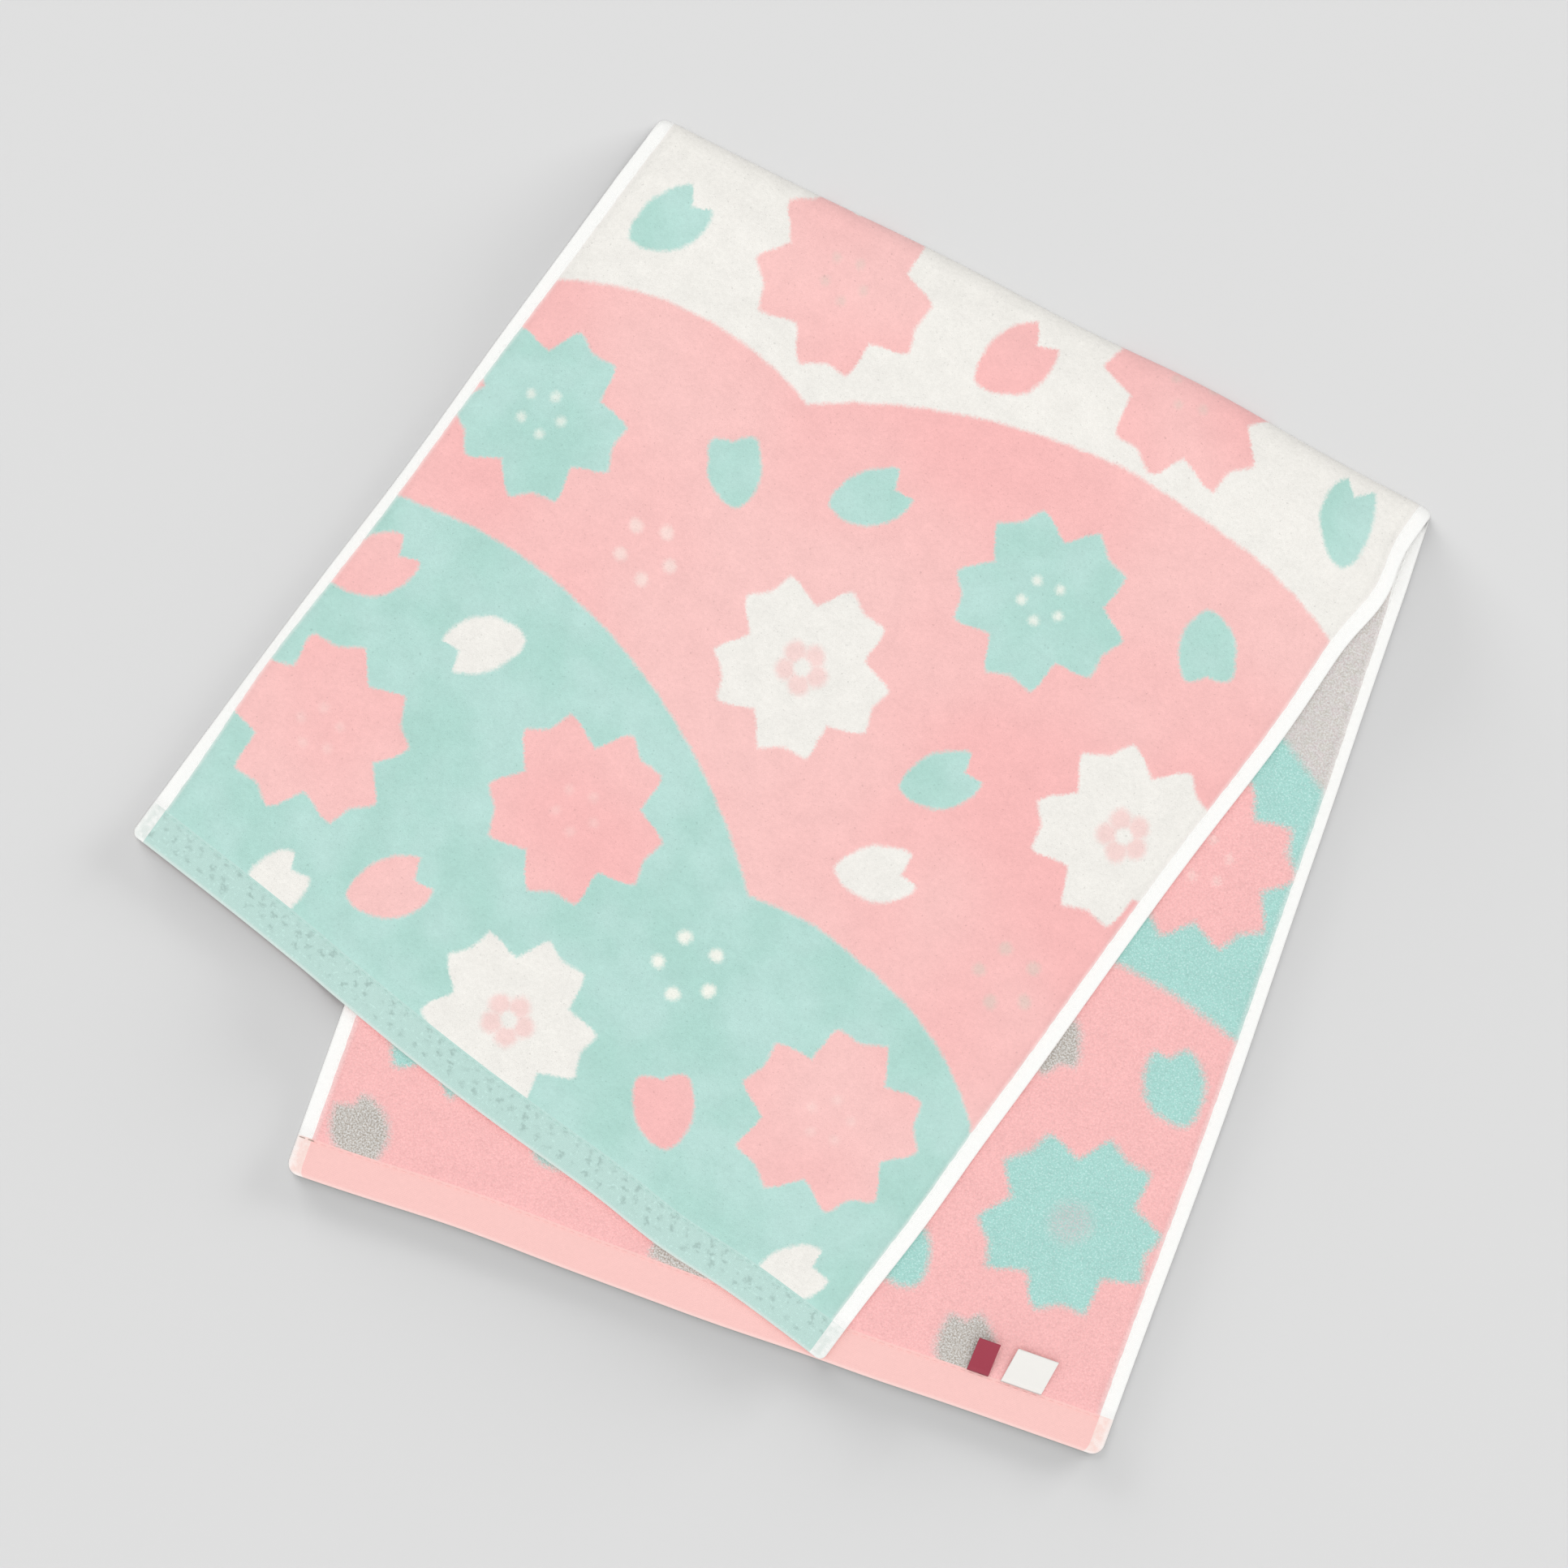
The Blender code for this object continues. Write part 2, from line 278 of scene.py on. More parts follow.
def hem_corners(layer):
    """The left and right corners of a layer's hem, in the plane of the table."""
    left = np.array([-FOLD_LENGTH / 2, 0.0]) + layer.left_length * down_an_edge(layer.left_lean)
    right = np.array([FOLD_LENGTH / 2, 0.0]) + layer.right_length * down_an_edge(layer.right_lean)
    return left, right


def hem_directions(layer):
    """Unit vectors along a layer's hem, left to right, and inwards from it to the fold."""
    left, right = hem_corners(layer)
    along = (right - left) / np.linalg.norm(right - left)
    return along, np.array([-along[1], along[0]])


def rest_height(x, y, by_edge):
    """Height of the top layer's underside: over the lower layer, and down past its left edge.

    by_edge is 1 along the top layer's own edges, where the hems lie close on the layer below.
    """
    down = down_an_edge(LOWER.left_lean)
    past_edge = (x + FOLD_LENGTH / 2) * down[1] - y * down[0]
    left, _ = hem_corners(LOWER)
    _, inwards = hem_directions(LOWER)
    from_hem = (x - left[0]) * inwards[0] + (y - left[1]) * inwards[1]
    over_pile = soft_step(from_hem, END_HEM - PILE_BEFORE_HEM, END_HEM + PILE_PAST_HEM)
    over = LAYER_GAP * (1 - HEM_CLOSENESS * by_edge)
    over = over + END_THICK + (PILE_THICK - END_THICK) * over_pile
    drop = soft_step(past_edge, EDGE_CLEARANCE, EDGE_CLEARANCE + DROP_REACH)
    first, second = (ripple(x * by_x + y * by_y, length) for by_x, by_y, length in SLOW_WAVES)
    wave = WAVE_HEIGHT * (1 + first * second) / 2 * (1 - by_edge)
    return (over + wave) * (1 - drop) + TABLE_GAP * drop


def columns():
    """Places of the mesh's columns across the cloth, as distances from its left edge."""
    band = np.array(EDGE_LINES + SIDE_LINES)
    field = np.linspace(band[-1], WIDTH - band[-1], FIELD_COLUMNS)
    return np.concatenate([band, field[1:-1], WIDTH - band[::-1]])


def rows(length):
    """Places of a layer's rows, as distances from its hem, for each column's length."""
    band = np.array(EDGE_LINES + END_LINES)
    near_hem = np.repeat(band[:, None], len(length), axis=1)
    near_fold = length[None, :] - np.array([*FOLD_ROWS, 0.0])[:, None]
    share = np.linspace(0.0, 1.0, FIELD_ROWS)[1:-1, None]
    field = near_hem[-1] + share * (near_fold[0] - near_hem[-1])
    return np.concatenate([near_hem, field, near_fold])


def across_at_corner(across, from_hem, radius):
    """The distance across the cloth, drawn in near a hem's ends so that the corners are round."""
    short = np.clip(radius - from_hem, 0.0, radius)
    inset = radius - np.sqrt(radius**2 - short**2)
    fade = 2 * radius
    left = inset * np.clip(1 - across / fade, 0.0, 1.0)
    right = inset * np.clip(1 - (WIDTH - across) / fade, 0.0, 1.0)
    return across + left - right


def pile_edge(across, from_hem):
    """A sideways wobble where the pile meets a side hem, as a few sines along the hem."""
    left = bell(across - SIDE_HEM, PILE_EDGE_REACH)
    right = bell(WIDTH - across - SIDE_HEM, PILE_EDGE_REACH)
    wave = sum(np.sin(from_hem * turns + start) for turns, start in PILE_EDGE_WAVES)
    fade = soft_step(from_hem, END_HEM, END_HEM + PILE_EDGE_FADE)
    return PILE_EDGE_WOBBLE * wave * (left - right) * fade


def fold_edge(share):
    """The outer edge of the fold, by the share of the way along it, round at both ends."""
    from_side = np.minimum(share, 1 - share) * WIDTH
    short = np.clip(1 - from_side / FOLD_CORNER, 0.0, 1.0)
    drawn_in = FOLD_CORNER_DEPTH * (1 - np.sqrt(1 - short**2))
    return FOLD_LENGTH * (share - 0.5), swell(share, FOLD_SWELLS) - drawn_in


def roll_skew():
    """How far the weave runs sideways for each metre that it goes round the roll."""
    fan = (LOWER.left_lean + LOWER.right_lean - TOP.left_lean - TOP.right_lean) / 2
    return np.tan(radians(fan / 2))


def roll_arc():
    """Length of the roll's half ellipse, by the mean of its two half axes."""
    high = (PILE_THICK * 2 + LAYER_GAP + ROLL_LOOP) / 2
    return np.pi * (ROLL_DEPTH + high) / 2


def narrowed(across, place, layer):
    """Where a point lies across the layer: shifted outwards in full at a side hem's inner edge,
    in proportion inside the hem, and less and less in the open pile.
    """
    sides = ((across, layer.left_narrow, -1), (WIDTH - across, layer.right_narrow, 1))
    for side, narrow, sign in sides:
        share = np.clip(side / SIDE_HEM, 0.0, 1.0)
        share = share * (1 - soft_step(side, SIDE_HEM, SIDE_HEM + NARROW_REACH))
        across = across + sign * share * swell(place, narrow) * soft_step(place, 0.0, SWELL_START)
    return across


def layer_plan(layer):
    """Plan of a layer: x, y, distance across the cloth, from the hem and from the roll.

    Each column is a straight line from the roll to the hem. The side swellings push it
    sideways in proportion to its place across the cloth.
    """
    left, right = hem_corners(layer)
    along, inwards = hem_directions(layer)
    skew = layer.sign * roll_skew() * roll_arc() / 2

    def column_ends(share):
        """The points on the hem and on the roll's edge, at a share of the way across."""
        hem = left + share[..., None] * (right - left)
        hem = hem - swell(share, layer.hem_swells)[..., None] * inwards
        fold_x, fold_y = fold_edge(share)
        return hem, np.stack([fold_x - skew, fold_y - ROLL_DEPTH], -1)

    hem, start = column_ends(columns() / WIDTH)
    length = np.linalg.norm(hem - start, axis=1)
    from_hem = rows(length)
    across = across_at_corner(columns(), from_hem, layer.corner_radius)
    across = across + pile_edge(columns(), from_hem)
    place = 1 - from_hem / length
    share = narrowed(across, place, layer) / WIDTH
    hem, start = column_ends(share)
    point = hem + (from_hem / length)[..., None] * (start - hem)
    push = swell(place, layer.right_swells) * share - swell(place, layer.left_swells) * (1 - share)
    point = point + (push * soft_step(place, 0.0, SWELL_START))[..., None] * along
    return point[..., 0], point[..., 1], across, from_hem, length - from_hem


def full_thickness(from_side, from_end):
    """Thickness of the cloth in from its rounded edge: hems, doubled corners, then the pile."""
    in_side = 1 - soft_step(from_side, SIDE_HEM, SIDE_HEM + PILE_STEP)
    in_end = 1 - soft_step(from_end, END_HEM, END_HEM + PILE_STEP)
    hem = in_side * (1 - in_end) * SIDE_THICK + in_end * (1 - in_side) * END_THICK
    thick = hem + in_side * in_end * CORNER_THICK + (1 - in_side) * (1 - in_end) * PILE_THICK
    side_seam = bell(from_side - SIDE_SEAM, SEAM_REACH)
    end_seam = bell(from_end - END_SEAM, SEAM_REACH) * (1 - in_side)
    return thick - SEAM_DEPTH * np.maximum(side_seam, end_seam)


def from_outline(across, from_hem, radius):
    """Distance in from the cloth's outline, whose corners are quarter circles of that radius."""
    side = np.minimum(across, WIDTH - across)
    corner = radius - np.hypot(radius - side, radius - from_hem)
    in_corner = (side < radius) & (from_hem < radius)
    return np.maximum(np.where(in_corner, corner, np.minimum(side, from_hem)), 0.0)


def edge_share(distance):
    """How full the thickness is near an outer edge: a quarter circle, from 0 at the edge to 1."""
    return np.sqrt(1 - np.clip(1 - distance / EDGE_ROUND, 0.0, 1.0) ** 2)


def puff(across, from_hem, inside):
    """Small ripples along an end hem, where its seam draws it in, and the pile's slight
    unevenness, as three crossing waves that begin in from the outline.
    """
    pucker = sum(ripple(across, length, start) for length, start in PUCKER_WAVES)
    pucker = PUCKER_HEIGHT * pucker * np.sin(np.pi * np.clip(from_hem / END_HEM, 0.0, 1.0))
    swelling = sum(
        ripple(across * sideways + from_hem * inwards, length, start)
        for sideways, inwards, length, start in PUFF_WAVES
    )
    return pucker + PUFF_HEIGHT * swelling * soft_step(inside, 0.0, HEM_REACH)


def towel_faces():
    """The folded towel's two faces: front points, back points, and the place on the flat cloth.

    Rows run from the top layer's hem over the roll to the lower layer's hem. The front is the
    outside of the fold. A face stands half the thickness from the middle of the cloth, and near
    the outer edges both close in on that middle, so that the edge is round.
    """
    x, y, across, from_hem, from_roll = layer_plan(TOP)
    side = np.minimum(across, WIDTH - across)
    inside = from_outline(across, from_hem, TOP.corner_radius)
    thick = full_thickness(side, from_hem)
    full = edge_share(inside)
    loop = ROLL_LOOP * bell(from_roll - ROLL_CREST, ROLL_REACH)
    loop = loop * (1 - HEM_FLATNESS * bell(side, HEM_REACH))
    base = rest_height(x, y, bell(inside, HEM_REACH)) + loop
    raised = puff(across, from_hem, inside)
    top_front = np.stack([x, y, base + thick / 2 * (1 + full) + raised])
    top_back = np.stack([x, y, base + thick / 2 * (1 - full)])
    top_flat = np.stack([across, from_hem])

    # Round the roll, the outside falls by a quarter ellipse to the fold's edge, then turns under
    # by a quarter circle and runs flat to the lower layer
    angle = np.linspace(np.pi / 2, -np.pi / 2, ROLL_STEPS + 1)[1:-1, None]
    share = columns() / WIDTH
    edge_x, edge_y = fold_edge(share)
    tip = ROLL_TIP * thick[-1]
    fall = base[-1] + thick[-1] + raised[-1] - tip
    deep = np.where(angle > 0, np.minimum(ROLL_SLOPE * fall, ROLL_DEPTH), tip)
    high = np.where(angle > 0, fall, tip)
    roll_y = edge_y - deep * (1 - np.cos(angle))
    roll_z = tip + high * np.sin(angle)
    outwards = np.stack([high * np.cos(angle), deep * np.sin(angle)])
    outwards = outwards / np.linalg.norm(outwards, axis=0)
    path_y = np.vstack([edge_y - ROLL_DEPTH, roll_y, edge_y - ROLL_DEPTH])
    path_z = np.vstack([tip + fall, roll_z, 0 * tip])
    run = np.cumsum(np.hypot(np.diff(path_y, axis=0), np.diff(path_z, axis=0)), axis=0)
    roll_x = edge_x - roll_skew() * roll_arc() * (0.5 - run[:-1] / run[-1])
    full = edge_share(np.minimum(share, 1 - share) * WIDTH)
    roll_front, roll_back = (
        np.stack([roll_x, roll_y - inwards * outwards[0], roll_z - inwards * outwards[1]])
        for inwards in (thick[-1] / 2 * (1 - full), thick[-1] / 2 * (1 + full))
    )
    roll_flat = np.stack([np.broadcast_to(columns(), roll_x.shape), top_flat[1, -1] + run[:-1]])

    x, y, across, from_hem, from_roll = layer_plan(LOWER)
    inside = from_outline(across, from_hem, LOWER.corner_radius)
    thick = full_thickness(np.minimum(across, WIDTH - across), from_hem)
    full = edge_share(inside)
    raised = puff(across, from_hem, inside) * (1 - bell(from_roll, ROLL_REACH))
    lower_front = np.stack([x, y, thick / 2 * (1 - full)])
    lower_back = np.stack([x, y, thick / 2 * (1 + full) + raised])
    slack = LENGTH - from_hem[-1] - top_flat[1, -1] - run[-1]
    lower_flat = np.stack([across, LENGTH - from_hem - slack * np.exp(-from_roll / SLACK_REACH)])
    return [
        np.concatenate([top, roll, lower[:, ::-1]], axis=1)
        for top, roll, lower in (
            (top_front, roll_front, lower_front),
            (top_back, roll_back, lower_back),
            (top_flat, roll_flat, lower_flat),
        )
    ]


# The woven figure
# Cream, pink and mint grounds in broad scallops, strewn with five-petalled cherry blossoms,
# single petals and rings of dots, an old stock of ornament. The colours change places on the
# back. The two ends of the cloth are the same, turned half round; the middle is cream.
PINK, MINT, CREAM = 0, 1, 2
BLOSSOM, PETAL, DOTS, BROAD_PETAL = 0, 1, 2, 3
TURNED_ROUND = (332.0, 795.0)
FIGURE_SCALE = 800.0

# Millimetres on the flat cloth: across from its left edge, along from the top layer's hem.
# turn is the direction of a petal's notch, in degrees from across towards along. hand is 1 where
# its long tip is on the far side of the notch, going that way round, and -1 where it is before
# it. dots is how strongly the ring of dots in the middle shows: pale above 0, grey below 0.
Motif = namedtuple("Motif", "kind colour across along size turn hand dots")
END_MOTIFS = [
    Motif(BLOSSOM, CREAM, 162, 36, 36.0, 11, 1, 0.0),
    Motif(BLOSSOM, PINK, 35, 78, 38.0, 41, 1, 0.15),
    Motif(BLOSSOM, PINK, 135, 117, 38.0, 2, 1, 0.15),
    Motif(BLOSSOM, PINK, 285.5, 78.5, 38.0, 31, 1, 0.15),
    Motif(BLOSSOM, MINT, 31.5, 229.5, 36.0, 12, 1, 0.6),
    Motif(BLOSSOM, CREAM, 173, 215.5, 37.0, 5, 1, 0.0),
    Motif(BLOSSOM, CREAM, 313.5, 236, 37.5, 64, 1, 0.0),
    Motif(BLOSSOM, MINT, 233, 292, 36.5, 68, 1, 0.75),
    Motif(PETAL, CREAM, 57, 18, 16.5, 82, 1, 0.0),
    Motif(PETAL, CREAM, 309.5, 19.5, 16.5, 62, 1, 0.0),
    Motif(PETAL, PINK, 94.5, 47, 17.5, 50, -1, 0.0),
    Motif(BROAD_PETAL, PINK, 231.5, 43.5, 18.0, 129, 1, 0.0),
    Motif(PETAL, PINK, 15, 142, 17.5, 56, -1, 0.0),
    Motif(PETAL, CREAM, 67, 144, 16.5, -133, -1, 0.0),
    Motif(PETAL, CREAM, 244.5, 168, 16.5, 33, -1, 0.0),
    Motif(PETAL, MINT, 243.5, 212.5, 16.5, 48, -1, 0.0),
    Motif(BROAD_PETAL, MINT, 106, 259.5, 16.5, 129, 1, 0.0),
    Motif(PETAL, MINT, 155.5, 285, 16.5, 48, -1, 0.0),
    Motif(BROAD_PETAL, MINT, 296, 315, 17.0, -56, 1, 0.0),
    Motif(PETAL, MINT, 28, 320, 17.0, 62, -1, 0.0),
    Motif(DOTS, MINT, 206.5, 94, 20.0, 59, 1, 0.9),
    Motif(DOTS, PINK, 97, 213, 18.0, 7, 1, 0.4),
    Motif(DOTS, PINK, 309, 164, 19.0, 55, 1, -0.5),
]
MIDDLE_MOTIFS = [
    Motif(BLOSSOM, PINK, 97, 345, 38.5, 5, 1, -0.35),
    Motif(BLOSSOM, PINK, 235.5, 394, 38.5, 41, 1, -0.35),
    Motif(PETAL, PINK, 170.5, 362, 18.0, 61, -1, 0.0),
    Motif(PETAL, PINK, 161.5, 433, 18.0, -119, -1, 0.0),
    Motif(PETAL, MINT, 313, 387, 16.5, 108, 1, 0.0),
    Motif(PETAL, MINT, 19, 408, 16.5, -72, 1, 0.0),
    Motif(PETAL, MINT, 97, 416, 16.5, 30, 1, 0.0),
    Motif(PETAL, PINK, 242, 466, 16.5, -140, 1, 0.0),
]

# How far each kind can reach from its centre, over its size
MOTIF_REACH = {BLOSSOM: 1.25, PETAL: 1.35, DOTS: 1.05, BROAD_PETAL: 1.3}

# The scalloped edges of the grounds are arcs of discs: across, along, radius
Disc = namedtuple("Disc", "across along radius")
MINT_DISCS = [Disc(74.0, -24.6, 205.6), Disc(250.0, 3.0, 134.0)]
PINK_DISCS = [Disc(87.0, 159.5, 141.0), Disc(267.0, 125.0, 231.0)]


def every_motif():
    """One Motif whose fields are arrays over all the motifs. The end ones are there twice, the
    second time turned half round the cloth's middle.
    """
    far_end = [
        motif._replace(
            across=TURNED_ROUND[0] - motif.across,
            along=TURNED_ROUND[1] - motif.along,
            turn=motif.turn + 180,
        )
        for motif in END_MOTIFS
    ]
    return Motif(*np.array(END_MOTIFS + far_end + MIDDLE_MOTIFS, float).T)


def motif_of_each_face(corners):
    """For each face of the flat cloth, the motif nearest to it for its size.

    corners is faces by 4 by 2, in millimetres. The result is each corner's place from the
    motif's centre, turned with the motif, one Motif whose fields are arrays over the faces, and
    whether each face is within the reach of its motif.
    """
    every = every_motif()
    reach = every.size * np.array([MOTIF_REACH[int(kind)] for kind in every.kind])
    offset = corners.mean(axis=1)[:, None] - np.stack([every.across, every.along], -1)
    away = np.linalg.norm(offset, axis=2) / reach
    found = Motif(*(field[away.argmin(axis=1)] for field in every))
    turn = np.radians(found.turn)[:, None]
    across = corners[..., 0] - found.across[:, None]
    along = corners[..., 1] - found.along[:, None]
    outwards = across * np.cos(turn) + along * np.sin(turn)
    aside = (along * np.cos(turn) - across * np.sin(turn)) * found.hand[:, None]
    return np.stack([outwards, aside, 0 * aside], -1), found, away.min(axis=1) < 1.0


# The towel's mesh
# Front and back are one closed surface, joined round the edge. Each face has the material of
# its place on the cloth, the flat cloth's coordinates, and the motif that it belongs to.
VELOUR, LOOPS, SIDE, END_FRONT, END_BACK, CORNER_FRONT, CORNER_BACK = range(7)
NO_MOTIF = {"kind": -1.0, "colour": -1.0, "size": 0.001, "dots": 0.001}


def quads(grid):
    """The four corners of each square of a grid, whether of point numbers or of places."""
    return np.stack([grid[:-1, :-1], grid[1:, :-1], grid[1:, 1:], grid[:-1, 1:]], 2)


def closed_sheet(outer, under, flat):
    """The points, faces and flat places of two grids of points that share their outer ring.

    The grids are xyz by rows by columns, and flat is the two coordinates on the flat sheet by
    rows by columns. The under face's squares run the other way round.
    """
    number = np.arange(outer[0].size).reshape(outer[0].shape)
    inner = np.zeros(number.shape, bool)
    inner[1:-1, 1:-1] = True
    under_number = number.copy()
    under_number[inner] = number.size + np.arange(inner.sum())
    points = np.concatenate([outer.reshape(3, -1), under[:, inner]], axis=1).T
    faces = [quads(number).reshape(-1, 4), quads(under_number).reshape(-1, 4)[:, ::-1]]
    corners = quads(np.moveaxis(flat, 0, -1)).reshape(-1, 4, 2)
    return points, np.concatenate(faces), np.concatenate([corners, corners[:, ::-1]])


def cotton_piece(name, points, faces, material_numbers=0):
    """A smooth object that only the cloth's lamps light."""
    mesh = bpy.data.meshes.new(name)
    mesh.from_pydata(points, [], faces)
    numbers = np.zeros(len(faces), np.int32) + material_numbers
    mesh.polygons.foreach_set("material_index", numbers.astype(np.int32))
    mesh.polygons.foreach_set("use_smooth", np.ones(len(faces), bool))
    piece = bpy.data.objects.new(name, mesh)
    bpy.context.scene.collection.objects.link(piece)
    only_cloth.objects.link(piece)
    return piece


def map_flat(mesh, name, corners):
    """A UV map of each corner's place on the flat sheet."""
    flat_map = mesh.uv_layers.new(name=name)
    flat_map.data.foreach_set("uv", corners.astype(np.float32).ravel())
    mesh.update()


front, back, flat = towel_faces()
plan = front[:2].reshape(2, -1)
centre = (plan.min(axis=1) + plan.max(axis=1)) / 2
for face in (front, back):
    face[:2] -= centre[:, None, None]
row_count, column_count = front.shape[1:]
points, faces, corners = closed_sheet(front, back, flat)
corners_mm = corners * 1000.0

column_order = np.arange(column_count - 1)
row_order = np.arange(row_count - 1)[:, None]
side_count = len(EDGE_LINES) + SIDE_LINES.index(SIDE_HEM)
end_count = len(EDGE_LINES) + END_LINES.index(END_HEM)
in_side = np.minimum(column_order, column_order[::-1]) < side_count
in_end = np.minimum(row_order, row_order[::-1]) < end_count
in_side, in_end = (np.tile(band.ravel(), 2) for band in np.broadcast_arrays(in_side, in_end))
is_front = np.arange(len(faces)) < len(faces) // 2
material_numbers = np.select(
    [in_side & in_end, in_side, in_end],
    [
        np.where(is_front, CORNER_FRONT, CORNER_BACK),
        np.full(len(faces), SIDE),
        np.where(is_front, END_FRONT, END_BACK),
    ],
    np.where(is_front, VELOUR, LOOPS),
)

towel_cloth = cotton_piece("towel_cloth", points, faces, material_numbers)
towel_mesh = towel_cloth.data
local, found, within = motif_of_each_face(corners_mm)
place = towel_mesh.attributes.new("motif_place", "FLOAT_VECTOR", "CORNER")
place.data.foreach_set("vector", local.astype(np.float32).ravel())
for word, missing in NO_MOTIF.items():
    value = np.where(within, getattr(found, word), missing)
    layer = towel_mesh.attributes.new(f"motif_{word}", "FLOAT", "FACE")
    layer.data.foreach_set("value", value.astype(np.float32))
map_flat(towel_mesh, "flat_cloth", corners_mm / FIGURE_SCALE)


# The towel's finishes
# Cotton towelling dyed in the yarn. The front is sheared velour, smooth with a slight mottling.
# The back is small loops, with grey flecks where the cream and the ground yarns mix. The hems
# are flat weave: bright white along the sides, and the ground's colour at the ends.
FRONT_PINK = (0.90, 0.475, 0.465, 1.0)
FRONT_PINK_LIGHT = (0.90, 0.545, 0.525, 1.0)
FRONT_MINT = (0.41, 0.66, 0.595, 1.0)
FRONT_MINT_LIGHT = (0.475, 0.705, 0.655, 1.0)
FRONT_CREAM = (0.84, 0.82, 0.775, 1.0)
PALE_DOT = (0.91, 0.90, 0.82, 1.0)
GREY_DOT = (0.62, 0.58, 0.50, 1.0)
HEART_PINK = (0.87, 0.645, 0.615, 1.0)
BACK_PINK = (0.90, 0.465, 0.46, 1.0)
BACK_MINT = (0.37, 0.66, 0.605, 1.0)
BACK_PINK_LIGHT = (0.94, 0.525, 0.515, 1.0)
BACK_MINT_LIGHT = (0.52, 0.77, 0.73, 1.0)
BACK_GREY_DARK = (0.555, 0.515, 0.465, 1.0)
BACK_GREY_ROSY = (0.60, 0.515, 0.51, 1.0)
BACK_GREY_LIGHT = (0.71, 0.70, 0.68, 1.0)
BACK_GREY_MOTIF = (0.39, 0.34, 0.29, 1.0)
BACK_CENTRE = (0.62, 0.56, 0.57, 1.0)
BESIDE_HEM = (0.94, 0.89, 0.87, 1.0)
HEM_WHITE = (0.95, 0.95, 0.93, 1.0)
HEM_MINT = (0.50, 0.70, 0.65, 1.0)
HEM_PINK = (0.94, 0.575, 0.545, 1.0)
# Colours of the painted highlight along the end hems' outer rims
MINT_RIM_HIGHLIGHT = (0.76, 0.80, 0.77, 1.0)
PINK_RIM_HIGHLIGHT = (0.95, 0.74, 0.70, 1.0)
CORNER_MINT = (0.75, 0.80, 0.77, 1.0)
CORNER_PINK = (0.93, 0.71, 0.66, 1.0)

# The finishes' small depths in metres, and how strong their pale parts are
VELOUR_DEPTH = 0.00026
LOOP_DEPTH = 0.00036
WEAVE_DEPTH = 0.00010
COTTON_SHINE = 0.15
COTTON_SHEEN_ROUGHNESS = 0.6
CREAM_TRACE = 0.15
BESIDE_HEM_STRENGTH = 0.35
# How strong the painted highlight along the hems' outer rims is
HIGHLIGHT_STRENGTH_AT_RIM = 0.6
# Wave texture scale of threads 0.5 mm apart
THREAD_WAVES = 0.628


class Wire:
    """A node's output. Sums and products of wires and numbers are Math nodes of its tree."""

    def __init__(self, tree, socket):
        self.tree = tree
        self.socket = socket

    def math(self, operation, *others):
        """A Math node's result on this value and the others."""
        return node(self.tree, "Math", 0, dict(enumerate((self, *others))), operation=operation)

    def vector(self, operation, *others, output=0):
        """A Vector Math node's result on this vector and the others."""
        links = dict(enumerate((self, *others)))
        return node(self.tree, "VectorMath", output, links, operation=operation)

    def __add__(self, other):
        return self.math("ADD", other)

    def __sub__(self, other):
        return self.math("SUBTRACT", other)

    def __rsub__(self, other):
        return node(self.tree, "Math", 0, {0: other, 1: self}, operation="SUBTRACT")

    def __mul__(self, other):
        return self.math("MULTIPLY", other)

    def __truediv__(self, other):
        return self.math("DIVIDE", other)

    def scaled(self, factor):
        """This vector or colour times a factor."""
        links = {0: self, "Scale": factor}
        return node(self.tree, "VectorMath", 0, links, operation="SCALE")

    def equals(self, code):
        """1 where this value is a code, else 0."""
        return self.math("COMPARE", float(code), 0.1)

    def rise(self, start, end):
        """A smooth rise from 0 at start to 1 at end."""
        links = {"Value": self, "From Min": start, "From Max": end}
        return node(self.tree, "MapRange", "Result", links, interpolation_type="SMOOTHSTEP")

    def fall(self, start, end):
        """A smooth fall from 1 at start to 0 at end."""
        return 1.0 - self.rise(start, end)

    def parts(self):
        """The first two parts of this vector."""
        made = node(self.tree, "SeparateXYZ", 0, {0: self}).socket.node
        return [Wire(self.tree, made.outputs[name]) for name in "XY"]


def node(tree, kind, output, links, **settings):
    """An output of a new node, with its properties set and its inputs joined or given."""
    made = tree.nodes.new(f"ShaderNode{kind}")
    for name, value in settings.items():
        setattr(made, name, value)
    for name, source in links.items():
        if isinstance(source, Wire):
            tree.links.new(source.socket, made.inputs[name])
        else:
            made.inputs[name].default_value = source
    return Wire(tree, made.outputs[output])


def blend(share, first, second):
    """The mix of two colours by a share from 0 to 1."""
    return node(share.tree, "Mix", 2, {0: share, 6: first, 7: second}, data_type="RGBA")


def dyed(tree, colour):
    """One plain colour."""
    made = tree.nodes.new("ShaderNodeRGB")
    made.outputs[0].default_value = colour
    return Wire(tree, made.outputs[0])


def lit(colour, *masks):
    """A colour scaled by each mask: (mask, factor where it is 0, factor where it is 1)."""
    for mask, low, high in masks:
        links = {"Value": mask, "To Min": low, "To Max": high}
        colour = colour.scaled(node(mask.tree, "MapRange", "Result", links))
    return colour


def curve(value, knots, sharp=()):
    """A drawn curve of a value from 0 to 1, through (place, height) knots, bent at sharp ones."""
    drawn = node(value.tree, "FloatCurve", "Value", {"Value": value})
    mapping = drawn.socket.node.mapping
    line = mapping.curves[0]
    line.points[0].location, line.points[1].location = knots[0], knots[-1]
    for knot in knots[1:-1]:
        line.points.new(*knot)
    for point in line.points:
        bent = any(abs(point.location[0] - place) < 1e-4 for place in sharp)
        point.handle_type = "VECTOR" if bent else "AUTO_CLAMPED"
    mapping.update()
    return drawn


def hypotenuse(first, second):
    """The root of the sum of two squares."""
    return (first * first + second * second).math("SQRT")


def noise(place, scale, detail=2.0, output="Fac"):
    """Soft noise at a place, from 0 to 1."""
    links = {"Vector": place, "Scale": scale, "Detail": detail}
    return node(place.tree, "TexNoise", output, links)


